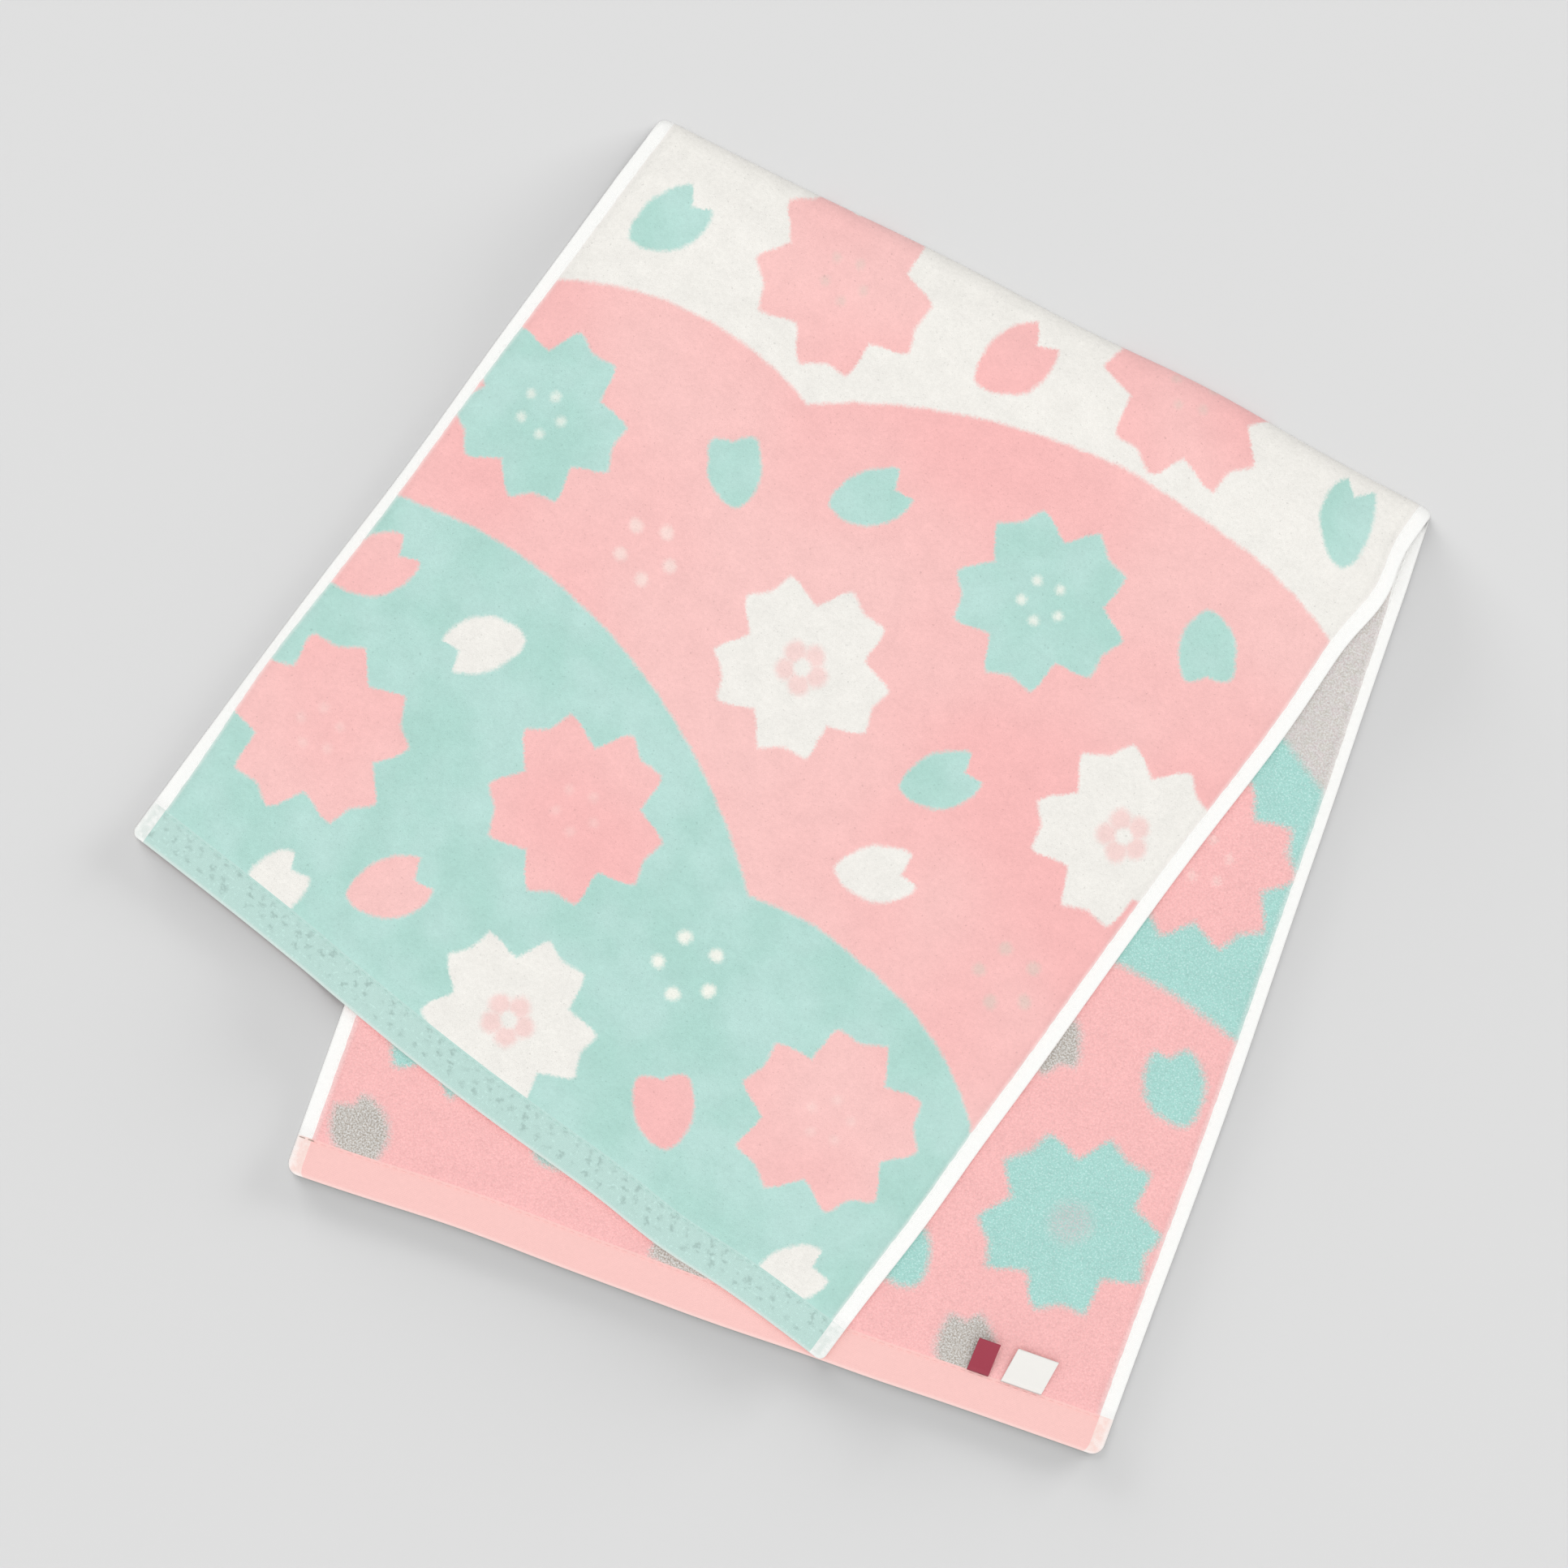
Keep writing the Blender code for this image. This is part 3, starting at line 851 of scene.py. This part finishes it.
def woven(place, scale):
    """Crossing threads: the product of two trains of waves, across and along."""
    links = {"Vector": place, "Scale": scale}
    across, along = (
        node(place.tree, "TexWave", "Fac", links, wave_type="BANDS", bands_direction=direction)
        for direction in "XY"
    )
    return across * along


def cloth_millimetres(tree):
    """The flat cloth's coordinates in millimetres."""
    return node(tree, "UVMap", "UV", {}, uv_map="flat_cloth").scaled(FIGURE_SCALE)


# Half the outline of a blossom's petal, from its notch to the valley beside it: the share of
# the 36 degrees, and the distance from the blossom's centre over the blossom's size
HALF_PETAL = radians(36)
BLOSSOM_OUTLINE = [
    (0.0, 0.88), (0.12, 0.905), (0.26, 0.955), (0.37, 1.00), (0.42, 1.02), (0.47, 1.00),
    (0.56, 0.925), (0.70, 0.79), (0.83, 0.69), (1.0, 0.60),
]
# A slim petal's outline, all round it from its pointed foot, past its short tip, notch and long
# tip, and back to the foot, by share of the full turn
PETAL_OUTLINE = [
    (0.0, 1.04), (0.010, 1.05), (0.056, 0.90), (0.122, 0.72), (0.194, 0.655), (0.246, 0.65),
    (0.306, 0.70), (0.353, 0.79), (0.389, 0.90), (0.411, 0.95), (0.438, 0.76), (0.483, 0.58),
    (0.516, 0.76), (0.535, 0.98), (0.552, 0.96), (0.576, 0.89), (0.652, 0.727), (0.722, 0.665),
    (0.777, 0.66), (0.833, 0.69), (0.892, 0.76), (0.944, 0.89), (1.0, 1.04),
]
PETAL_POINTS = (0.010, 0.411, 0.438, 0.483, 0.516, 0.535)
# Half the outline of a broad petal, whose two tips are alike, from its notch to its foot, by
# share of half a turn
BROAD_OUTLINE = [
    (0.0, 0.65), (0.12, 0.80), (0.20, 0.89), (0.29, 0.80), (0.40, 0.69), (0.59, 0.66),
    (0.75, 0.69), (0.86, 0.76), (0.95, 0.83), (1.0, 0.86),
]
# The distances that blunt outlines draw in to, and the figure's small parts in millimetres
BLUNT_BLOSSOM = 0.82
BLUNT_PETAL = 0.76
DRAWN_SCALE, DRAWN_SHIFT = 0.13, 1.6
WOVEN_SCALE, WOVEN_SHIFT = 1.1, 4.0
BLOSSOM_DOT_RING = 8.4
BLOSSOM_DOT = 1.8
LARGER_DOT = 0.8
DOT_RING_SHARE = 0.6
DOT_SOFTNESS = 1.5
LOBE_RING, LOBE_RADIUS, LOBE_SOFTNESS = 6.4, 4.4, 1.9
HEART_HOLE = (2.0, 4.6)
CENTRE_FADE = (4.0, 12.0)


def figure_group():
    """The woven figure as masks: pink, mint, any motif, dots, and the hearts of blossoms.

    A motif is where the distance from its centre is less than its outline at that angle. The
    grounds are discs, in the coordinates of the nearer end of the cloth. Both are read at a
    place that noise shifts by a fraction of a millimetre, as weaving does to a drawn edge.
    """
    tree = bpy.data.node_groups.new("woven_figure", "ShaderNodeTree")
    for word in ("Ragged", "Softness", "Blunt Blossoms", "Blunt Petals"):
        tree.interface.new_socket(word, in_out="INPUT", socket_type="NodeSocketFloat")
    given = tree.nodes.new("NodeGroupInput")
    ragged, softness, blunt_blossoms, blunt_petals = (Wire(tree, s) for s in given.outputs[:4])
    flat_mm = cloth_millimetres(tree)

    def shifts(scale, reach):
        """Noise that shifts a place to all sides, over that reach."""
        return noise(flat_mm, scale, 1.0, "Color").vector("SUBTRACT", (0.5, 0.5, 0.5)).scaled(reach)

    def inside(outside):
        """1 where a distance outside an edge is below 0, with a soft edge."""
        return outside.fall(softness * -1.0, softness)

    shift = shifts(DRAWN_SCALE, DRAWN_SHIFT)
    shift = shift.vector("ADD", shifts(WOVEN_SCALE, ragged * WOVEN_SHIFT))
    place = node(tree, "Attribute", "Vector", {}, attribute_name="motif_place")
    size, kind, colour, dots = (
        node(tree, "Attribute", "Fac", {}, attribute_name=f"motif_{word}")
        for word in ("size", "kind", "colour", "dots")
    )
    is_blossom, is_petal, is_broad, is_dots = (
        kind.equals(code) for code in (BLOSSOM, PETAL, BROAD_PETAL, DOTS)
    )
    masks = {}

    # The motif: its polar outline against the distance from its centre
    across, along = place.vector("ADD", shift).parts()
    distance = hypotenuse(across, along)
    angle = along.math("ARCTAN2", across)
    folded = angle.math("PINGPONG", HALF_PETAL)
    blossom = curve(folded / HALF_PETAL, BLOSSOM_OUTLINE)
    blossom = blossom + (BLUNT_BLOSSOM - blossom) * blunt_blossoms
    petal = curve(angle / radians(360) + 0.5, PETAL_OUTLINE, PETAL_POINTS)
    petal = petal + (BLUNT_PETAL - petal) * blunt_petals
    broad = curve(angle.math("ABSOLUTE") / radians(180), BROAD_OUTLINE, (0.0,))
    outline = blossom * is_blossom + petal * is_petal + broad * is_broad
    motif = inside(distance - outline * size) * (is_blossom + is_petal + is_broad)
    masks["Motif"] = motif

    # The grounds, which are the same at both ends of the cloth
    far = flat_mm.parts()[1].math("GREATER_THAN", TURNED_ROUND[1] / 2)
    turned = flat_mm.vector("MULTIPLY_ADD", (-1.0, -1.0, -1.0), (*TURNED_ROUND, 0.0))
    near_end = node(tree, "Mix", 1, {0: far, 4: flat_mm, 5: turned}, data_type="VECTOR")
    near_end = near_end.vector("ADD", shift)

    def ground(discs):
        """1 inside either of two discs."""
        first, second = (
            near_end.vector("DISTANCE", (disc.across, disc.along, 0.0), output=1) - disc.radius
            for disc in discs
        )
        return inside(first).math("MAXIMUM", inside(second))

    mint_ground = ground(MINT_DISCS)
    pink_ground = ground(PINK_DISCS) * (1.0 - mint_ground)
    for word, own_ground, code in (("Pink", pink_ground, PINK), ("Mint", mint_ground, MINT)):
        masks[word] = motif * colour.equals(code) + own_ground * (1.0 - motif)

    # The ring of five dots, and the five lobes at the heart of a cream blossom
    def round_spots(ring, radius, soft):
        """1 within a radius of the point on each petal's axis at that distance out."""
        outwards = distance * folded.math("COSINE") - ring
        aside = distance * folded.math("SINE")
        return (hypotenuse(outwards, aside) - radius).fall(-soft, soft)

    ring = is_dots * size * DOT_RING_SHARE + is_blossom * BLOSSOM_DOT_RING
    dot = round_spots(ring, is_dots * LARGER_DOT + BLOSSOM_DOT, DOT_SOFTNESS)
    dot = dot * kind.math("GREATER_THAN", -0.5)
    masks["Pale Dots"] = dot * dots.math("MAXIMUM", 0.0)
    masks["Grey Dots"] = dot * (dots * -1.0).math("MAXIMUM", 0.0)
    heart = round_spots(LOBE_RING, LOBE_RADIUS, LOBE_SOFTNESS) * distance.rise(*HEART_HOLE)
    masks["Heart"] = heart * is_blossom * colour.equals(CREAM)
    masks["Centre"] = distance.fall(*CENTRE_FADE) * is_blossom * colour.equals(PINK)

    result = tree.nodes.new("NodeGroupOutput")
    for word, mask in masks.items():
        tree.interface.new_socket(word, in_out="OUTPUT", socket_type="NodeSocketFloat")
        tree.links.new(mask.socket, result.inputs[word])
    return tree


def cotton_material(name, roughness, sheen):
    """A matt cotton finish with a soft sheen."""
    material = bpy.data.materials.new(name)
    material.use_nodes = True
    shader = material.node_tree.nodes["Principled BSDF"]
    shader.inputs["Roughness"].default_value = roughness
    shader.inputs["Specular IOR Level"].default_value = COTTON_SHINE
    shader.inputs["Sheen Weight"].default_value = sheen
    shader.inputs["Sheen Roughness"].default_value = COTTON_SHEEN_ROUGHNESS
    return material


def feed(material, name, source):
    """Joins a wire to one of a material's shader inputs."""
    tree = material.node_tree
    tree.links.new(source.socket, tree.nodes["Principled BSDF"].inputs[name])


def bumped(material, height, depth):
    """A bump from a height mask, depth metres deep, for a material."""
    links = {"Strength": 1.0, "Distance": depth, "Height": height}
    feed(material, "Normal", node(material.node_tree, "Bump", "Normal", links))


woven_figure = figure_group()


def figured(tree, ragged, softness, blunt_blossoms, blunt_petals):
    """The figure's masks, with edges that are so ragged, so soft and so blunt."""
    figure = tree.nodes.new("ShaderNodeGroup")
    figure.node_tree = woven_figure
    for socket, value in zip(figure.inputs, (ragged, softness, blunt_blossoms, blunt_petals)):
        socket.default_value = value
    return {socket.name: Wire(tree, socket) for socket in figure.outputs}


def coloured(masks, pink, mint, cream, heart, strength):
    """The figure in those colours, with its dots at that strength.

    Where pink meets mint, only a faint trace of cream shows between them.
    """
    not_mint = 1.0 - masks["Mint"] * (1 - CREAM_TRACE)
    colour = blend(masks["Pink"] / not_mint, cream, pink)
    colour = blend(masks["Mint"], colour, mint)
    for word, dye in (("Pale Dots", PALE_DOT), ("Grey Dots", GREY_DOT), ("Heart", heart)):
        colour = blend(masks[word] * strength, colour, dye)
    return colour


def edge_distances(cloth):
    """Distances in from the nearer side edge and from the nearer end, in millimetres."""
    across, along = cloth.parts()
    return across.math("PINGPONG", WIDTH * 500), along.math("PINGPONG", LENGTH * 500)


def beside_hem(cloth, colour, reach):
    """The pile's colour, a little paler beside a side hem, over that reach in millimetres."""
    from_side, _ = edge_distances(cloth)
    start = SIDE_HEM * 1000
    return blend(from_side.fall(start, start + reach) * BESIDE_HEM_STRENGTH, colour, BESIDE_HEM)


# Sheared velour, the front: cloudy, finely napped, with a few pinholes between the tufts
velour = cotton_material("velour", 0.95, 0.25)
cloth = cloth_millimetres(velour.node_tree)
cloud = noise(cloth, 0.035, 3.0).rise(0.3, 0.7)
faded = noise(cloth, 0.007).rise(0.35, 0.65)
pink = blend(faded, FRONT_PINK_LIGHT, FRONT_PINK)
mint = blend(cloud, FRONT_MINT, FRONT_MINT_LIGHT)
masks = figured(
    velour.node_tree, ragged=0.5, softness=1.3, blunt_blossoms=0.30, blunt_petals=0.0
)
colour = coloured(masks, pink, mint, FRONT_CREAM, HEART_PINK, 1.0)
mottle = noise(cloth, 0.11, 3.0)
nap = noise(cloth, 0.55, 3.0)
fibre = noise(cloth, 2.6)
pinhole = noise(cloth, 0.8, 1.0).rise(0.66, 0.78)
colour = lit(
    beside_hem(cloth, colour, 1.6),
    (mottle, 0.93, 1.07), (nap, 0.93, 1.07), (fibre, 0.93, 1.07), (pinhole, 1.0, 0.84),
)
feed(velour, "Base Color", colour)
bumped(velour, nap * 1.5 + fibre, VELOUR_DEPTH)

# Looped pile, the back: each colour is flecked with its mixed yarns, most where cream meets the
# ground
loops = cotton_material("loop_pile", 0.95, 0.15)
cloth = cloth_millimetres(loops.node_tree)
fleck = noise(cloth, 1.5).rise(0.32, 0.68)
rosy = noise(cloth, 0.30).rise(0.35, 0.65)
masks = figured(
    loops.node_tree, ragged=1.1, softness=2.6, blunt_blossoms=0.33, blunt_petals=0.38
)
grey = blend(rosy, BACK_GREY_DARK, BACK_GREY_ROSY)
grey = blend(masks["Motif"], grey, BACK_GREY_MOTIF)
grey = blend(fleck, grey, BACK_GREY_LIGHT)
mint = blend(fleck.rise(0.6, 1.0), BACK_MINT, BACK_MINT_LIGHT)
pink = blend(fleck, BACK_PINK, BACK_PINK_LIGHT)
colour = coloured(masks, mint, pink, grey, grey, 0.4)
colour = blend(masks["Centre"] * (fleck * 0.7 + 0.1), colour, BACK_CENTRE)
curl = {"Vector": cloth, "Scale": 1.05}
loop = node(loops.node_tree, "TexVoronoi", "Distance", curl, feature="SMOOTH_F1")
mottle = noise(cloth, 0.08, 3.0)
fibre = noise(cloth, 2.2)
# The loops are painted lighter on their tops and darker in the gaps between them: painted highlight
# and painted shade that follow the bump
colour = lit(
    beside_hem(cloth, colour, 2.6), (mottle, 0.95, 1.05), (loop, 1.08, 0.89), (fibre, 0.89, 1.11)
)
feed(loops, "Base Color", colour)
bumped(loops, fibre - loop, LOOP_DEPTH)


def flat_weave(name, colour):
    """A flat-woven hem, with fine threads over and under: its finish, its colour, its cloth."""
    material = cotton_material(name, 0.85, 0.1)
    cloth = cloth_millimetres(material.node_tree)
    thread = woven(cloth, THREAD_WAVES)
    bumped(material, thread, WEAVE_DEPTH)
    shade = dyed(material.node_tree, colour)
    return material, lit(shade, (thread, 0.97, 1.03), (noise(cloth, 0.5), 0.97, 1.03)), cloth


def painted_rim_highlight(shade, distance, colour, reach):
    """A painted highlight: a paler rim along an outer edge, where the light catches it, which dies
    away over that reach in millimetres.
    """
    return blend(distance.fall(0.0, reach) * HIGHLIGHT_STRENGTH_AT_RIM, shade, colour)


side_hem, shade, _ = flat_weave("side_hem", HEM_WHITE)
feed(side_hem, "Base Color", shade)

corner_finishes = []
for name, colour, bareness in (
    ("corner_front", CORNER_MINT, 0.6),
    ("corner_back", CORNER_PINK, 0.35),
):
    corner, shade, cloth = flat_weave(name, colour)
    from_side, from_end = edge_distances(cloth)
    bare = noise(cloth, 0.32).rise(0.42, 0.66)
    shade = blend(bare * bareness, shade, HEM_WHITE)
    # The corner's paler outer rims are painted highlight
    shade = painted_rim_highlight(shade, from_side, HEM_WHITE, 3.0)
    shade = painted_rim_highlight(shade, from_end, HEM_WHITE, 2.2)
    feed(corner, "Base Color", shade)
    corner_finishes.append(corner)

end_back, shade, cloth = flat_weave("end_hem_back", HEM_PINK)
# The end hem's paler outer rim is painted highlight
feed(end_back, "Base Color", painted_rim_highlight(shade, edge_distances(cloth)[1], PINK_RIM_HIGHLIGHT, 2.0))

# The front end hem is pitted where the warp shows through: rows of dark marks, and light flecks.
# Each row has its distance from the end, its start across, and the scale of its wander.
PIT_ROWS = ((5.2, 0.0, 0.23), (9.2, 2.1, 0.19), (12.9, 4.0, 0.27))
PIT_SPACE = 3.0
PIT_STRETCH = 0.8
PIT_EDGE = (0.1, 1.9)
PIT_RAGGEDNESS = 3.4
ROW_WANDER = 7.0
end_front, shade, cloth = flat_weave("end_hem_front", HEM_MINT)
_, from_end = edge_distances(cloth)
across, _ = cloth.parts()
ragged = (noise(cloth, 0.9, 1.0) - 0.5) * PIT_RAGGEDNESS
pits = None
for row_place, row_start, wander_scale in PIT_ROWS:
    along_row = (across + row_start).math("PINGPONG", PIT_SPACE)
    wander = (noise(cloth, wander_scale, 1.0) - 0.5) * ROW_WANDER
    off_row = from_end - (wander + row_place)
    pit = (hypotenuse(along_row * PIT_STRETCH, off_row) + ragged).fall(*PIT_EDGE)
    pits = pit if pits is None else pits.math("MAXIMUM", pit)
pits = pits * noise(cloth, 0.16, 1.0).rise(0.38, 0.60)
light_fleck = noise(cloth, 0.8, 0.0).rise(0.64, 0.76)
shade = lit(shade, (light_fleck, 1.0, 1.10), (pits, 1.0, 0.77))
# The end hem's paler outer rim is painted highlight
feed(end_front, "Base Color", painted_rim_highlight(shade, from_end, MINT_RIM_HIGHLIGHT, 2.0))

for finish in (velour, loops, side_hem, end_front, end_back, *corner_finishes):
    towel_mesh.materials.append(finish)

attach(towel_cloth, "root")
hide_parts("towel")

# The hems' stitching
# A run of lockstitch in cotton thread near the inner edge of each hem, on both faces. It is
# white along the sides, and of the hem's own colour at the ends. Each stitch sinks in at its ends.
SIDE_STITCH = 0.0026
END_STITCH = 0.0029
TACK_STITCH = 0.0029
TACK_COUNT = 2
TACK_REACH = 6
STITCH_SPACE = 0.0008
THREAD_RADIUS = 0.00019
THREAD_SINK = 0.4
THREAD_TAPER = 0.9
STITCH_RISE = 0.00020
STITCH_RINGS = 6
THREAD_SIDES = 6
PRESSED = 0.00003
STRAND_SCALE = 3000.0
TACK_BROWN = (0.40, 0.31, 0.26, 1.0)


def surface_normals(face):
    """Unit normals of a grid of points, from the cross product of its two directions."""
    grid = np.moveaxis(face, 0, -1)
    normal = np.cross(np.gradient(grid, axis=0), np.gradient(grid, axis=1))
    return normal / np.linalg.norm(normal, axis=-1, keepdims=True)


def stitches(line, normal, length):
    """Stitches along a seam line, as an array: stitches, rings, points round a ring, xyz.

    Each is a thread bent over the cloth: its middle line rises by half a sine, and its radius
    shrinks at both ends. Under the towel it is pressed flat against the table.
    """
    run = np.concatenate([[0.0], np.cumsum(np.linalg.norm(np.diff(line, axis=0), axis=1))])
    starts = np.arange(STITCH_SPACE, run[-1] - length, length + STITCH_SPACE)
    share = np.linspace(0.0, 1.0, STITCH_RINGS)
    at = starts[:, None] + share * length
    middle = np.stack([np.interp(at, run, line[:, k]) for k in range(3)], -1)
    up = np.stack([np.interp(at, run, normal[:, k]) for k in range(3)], -1)
    forward = np.repeat(middle[:, -1:] - middle[:, :1], STITCH_RINGS, axis=1)
    forward = forward / np.linalg.norm(forward, axis=-1, keepdims=True)
    aside = np.cross(forward, up)
    height = STITCH_RISE * np.sin(np.pi * share) - THREAD_SINK * THREAD_RADIUS
    radius = THREAD_RADIUS * np.sqrt(1 - THREAD_TAPER * (2 * share - 1) ** 6)
    angle = np.arange(THREAD_SIDES) * 2 * np.pi / THREAD_SIDES
    ring = aside[:, :, None] * np.cos(angle)[:, None] + up[:, :, None] * np.sin(angle)[:, None]
    middle = middle + up * height[:, None]
    points = middle[:, :, None] + ring * radius[:, None, None]
    points[..., 2] = np.maximum(points[..., 2], -PRESSED)
    return points


def stitch_piece(name, runs, finishes):
    """One object of many stitches. runs are (stitch array, material number) pairs."""
    points = np.concatenate([run.reshape(-1, 3) for run, _ in runs])
    index = np.arange(len(points)).reshape(-1, STITCH_RINGS, THREAD_SIDES)
    ahead = np.roll(index, -1, axis=2)
    walls = np.stack([index[:, :-1], ahead[:, :-1], ahead[:, 1:], index[:, 1:]], -1)
    first, last = index[:, 0], index[:, -1]
    caps = [first[:, [3, 2, 1, 0]], first[:, [5, 4, 3, 0]]]
    caps += [last[:, [0, 1, 2, 3]], last[:, [0, 3, 4, 5]]]
    faces = np.concatenate([walls.reshape(len(index), -1, 4), np.stack(caps, 1)], axis=1)
    numbers = [np.full(len(run) * faces.shape[1], number) for run, number in runs]
    piece = cotton_piece(name, points, faces.reshape(-1, 4), np.concatenate(numbers))
    for finish in finishes:
        piece.data.materials.append(finish)
    return piece


def thread(name, colour):
    """Spun cotton thread: its colour, with fine twisted strands."""
    material = cotton_material(name, 0.7, 0.1)
    strand = noise(node(material.node_tree, "TexCoord", "Object", {}), STRAND_SCALE)
    shade = lit(dyed(material.node_tree, colour), (strand, 0.94, 1.06))
    feed(material, "Base Color", shade)
    return material


front_grid, back_grid = np.moveaxis(front, 0, -1), np.moveaxis(back, 0, -1)
front_normal, back_normal = -surface_normals(front), surface_normals(back)
side_line = len(EDGE_LINES) + SIDE_LINES.index(SIDE_SEAM)
end_line = len(EDGE_LINES) + END_LINES.index(END_SEAM)
between_ends = slice(end_line + 1, row_count - 1 - end_line)
between_sides = slice(side_line, column_count - side_line)
side_runs, end_runs = [], []
for grid, normal, number in ((front_grid, front_normal, 0), (back_grid, back_normal, 1)):
    for column in (side_line, column_count - 1 - side_line):
        run = grid[between_ends, column], normal[between_ends, column]
        side_runs.append((stitches(*run, SIDE_STITCH), 0))
    for row in (end_line, row_count - 1 - end_line):
        run = grid[row, between_sides], normal[row, between_sides]
        end_runs.append((stitches(*run, END_STITCH), number))

# A tack of two stitches crosses the side hem at the lower layer's left corner, on the back
tack_row = row_count - 2 - end_line
tack = slice(1, side_line + TACK_REACH)
tack_run = stitches(back_grid[tack_row, tack], back_normal[tack_row, tack], TACK_STITCH)
side_runs.append((tack_run[:TACK_COUNT], 1))

side_stitching = stitch_piece(
    "side_stitching",
    side_runs,
    [thread("white_thread", HEM_WHITE), thread("brown_thread", TACK_BROWN)],
)
end_stitching = stitch_piece(
    "end_stitching",
    end_runs,
    [thread("mint_thread", HEM_MINT), thread("pink_thread", HEM_PINK)],
)
for piece in (side_stitching, end_stitching):
    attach(piece, "root")

# The labels
# Two woven tapes, each folded into a flat loop with both ends caught in one end hem's seam, on
# the back. The small one is deep red and its free end stands up. The wide one is off-white and
# lies flatter. Both are plain.
LABEL_ROOT = 0.0154
TAPE_THICK = 0.00030
TAPE_BEND = 0.00034
TAPE_GAP = 0.00020
TAPE_BOW = 0.0004
SELVAGE_PLACE, SELVAGE_REACH, SELVAGE_HEIGHT = 0.0006, 0.0003, 0.00006
TAPE_LINES = 21
BEND_LINES = 7
TAPE_EDGE_LINES = np.array([0.0, 0.00008, 0.00022, 0.0005, 0.0009])
TAPE_FIELD = 0.0014
TAPE_COLUMNS = 9
CUT_STEP = 0.0009
TAPE_EDGE_SHARE = 4
RETURN_LEAF = 0.02
TAPE_MAP_SCALE = 10.0
TAPE_WAVES = 105.0
TAPE_DEPTH = 0.00006
RED_TAPE = (0.36, 0.045, 0.075, 1.0)
WHITE_TAPE = (0.88, 0.865, 0.83, 1.0)
Label = namedtuple("Label", "name from_corner width length slant lift")
SMALL_LABEL = Label("small_label", 0.0560, 0.0089, 0.0138, 0.0004, 0.0034)
WIDE_LABEL = Label("wide_label", 0.0380, 0.0168, 0.0146, 0.0024, 0.0010)


def label_faces(label):
    """A looped tape's outer and inner points, and its place on the flat tape.

    Its middle line runs out from the seam, bends back in half a circle, and returns over
    itself. It is lifted by the square of its distance out. Sideways it is a little bowed.
    """
    reach = label.length - TAPE_BEND - TAPE_THICK / 2
    leaf = np.linspace(0.0, reach, TAPE_LINES)
    straight = np.ones(TAPE_LINES)
    angle = np.linspace(-np.pi / 2, np.pi / 2, BEND_LINES)[1:-1]
    turn = np.concatenate([-straight * np.pi / 2, angle, straight * np.pi / 2])[:, None]
    out = np.concatenate([leaf, reach + TAPE_BEND * np.cos(angle), leaf[::-1]])[:, None]
    over = TAPE_BEND * (1 + np.sin(turn))
    half = label.width / 2
    field = np.linspace(TAPE_FIELD - half, half - TAPE_FIELD, TAPE_COLUMNS)
    sideways = np.concatenate([TAPE_EDGE_LINES - half, field, half - TAPE_EDGE_LINES[::-1]])
    from_edge = half - np.abs(sideways)
    line = np.arange(len(out))[:, None]
    from_cut = np.minimum(line, line[::-1]) * CUT_STEP
    full = edge_share(np.minimum(from_edge * TAPE_EDGE_SHARE, from_cut))
    selvage = SELVAGE_HEIGHT * bell(from_edge - SELVAGE_PLACE, SELVAGE_REACH)
    _, right = hem_corners(LOWER)
    along, inwards = hem_directions(LOWER)
    both = []
    for side in (1, -1):
        shift = side * (TAPE_THICK / 2 * full + selvage)
        inward = LABEL_ROOT + out + shift * np.cos(turn)
        share = (inward - LABEL_ROOT) / label.length
        bed = full_thickness(np.full_like(inward, WIDTH / 2), np.maximum(inward, END_HEM))
        height = bed + TAPE_GAP + TAPE_THICK / 2 + over + shift * np.sin(turn)
        height = height + label.lift * share**2 + TAPE_BOW * share * (sideways / half) ** 2
        across = label.slant * share - label.from_corner + sideways
        plan = right - centre + across[..., None] * along + inward[..., None] * inwards
        both.append(np.stack([plan[..., 0], plan[..., 1], height]))
    run = out + np.where(turn > 0, RETURN_LEAF, 0.0)
    return both, np.stack(np.broadcast_arrays(sideways + half, run))


def label_piece(label, finish):
    """The closed mesh of a looped label, with a map of its tape."""
    (outer, under), tape_place = label_faces(label)
    points, faces, corners = closed_sheet(outer, under, tape_place)
    piece = cotton_piece(label.name, points, faces[:, ::-1])
    piece.data.materials.append(finish)
    map_flat(piece.data, "tape", corners[:, ::-1] * TAPE_MAP_SCALE)
    return piece


def tape(name, colour):
    """Woven tape: crossing threads at 0.3 mm, in one colour."""
    material = cotton_material(name, 0.6, 0.1)
    over = woven(node(material.node_tree, "UVMap", "UV", {}, uv_map="tape"), TAPE_WAVES)
    feed(material, "Base Color", lit(dyed(material.node_tree, colour), (over, 0.92, 1.08)))
    bumped(material, over, TAPE_DEPTH)
    return material


small_label = label_piece(SMALL_LABEL, tape("red_tape", RED_TAPE))
wide_label = label_piece(WIDE_LABEL, tape("white_tape", WHITE_TAPE))
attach(small_label, "root")
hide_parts("label_small")
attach(wide_label, "root")
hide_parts("label_wide")
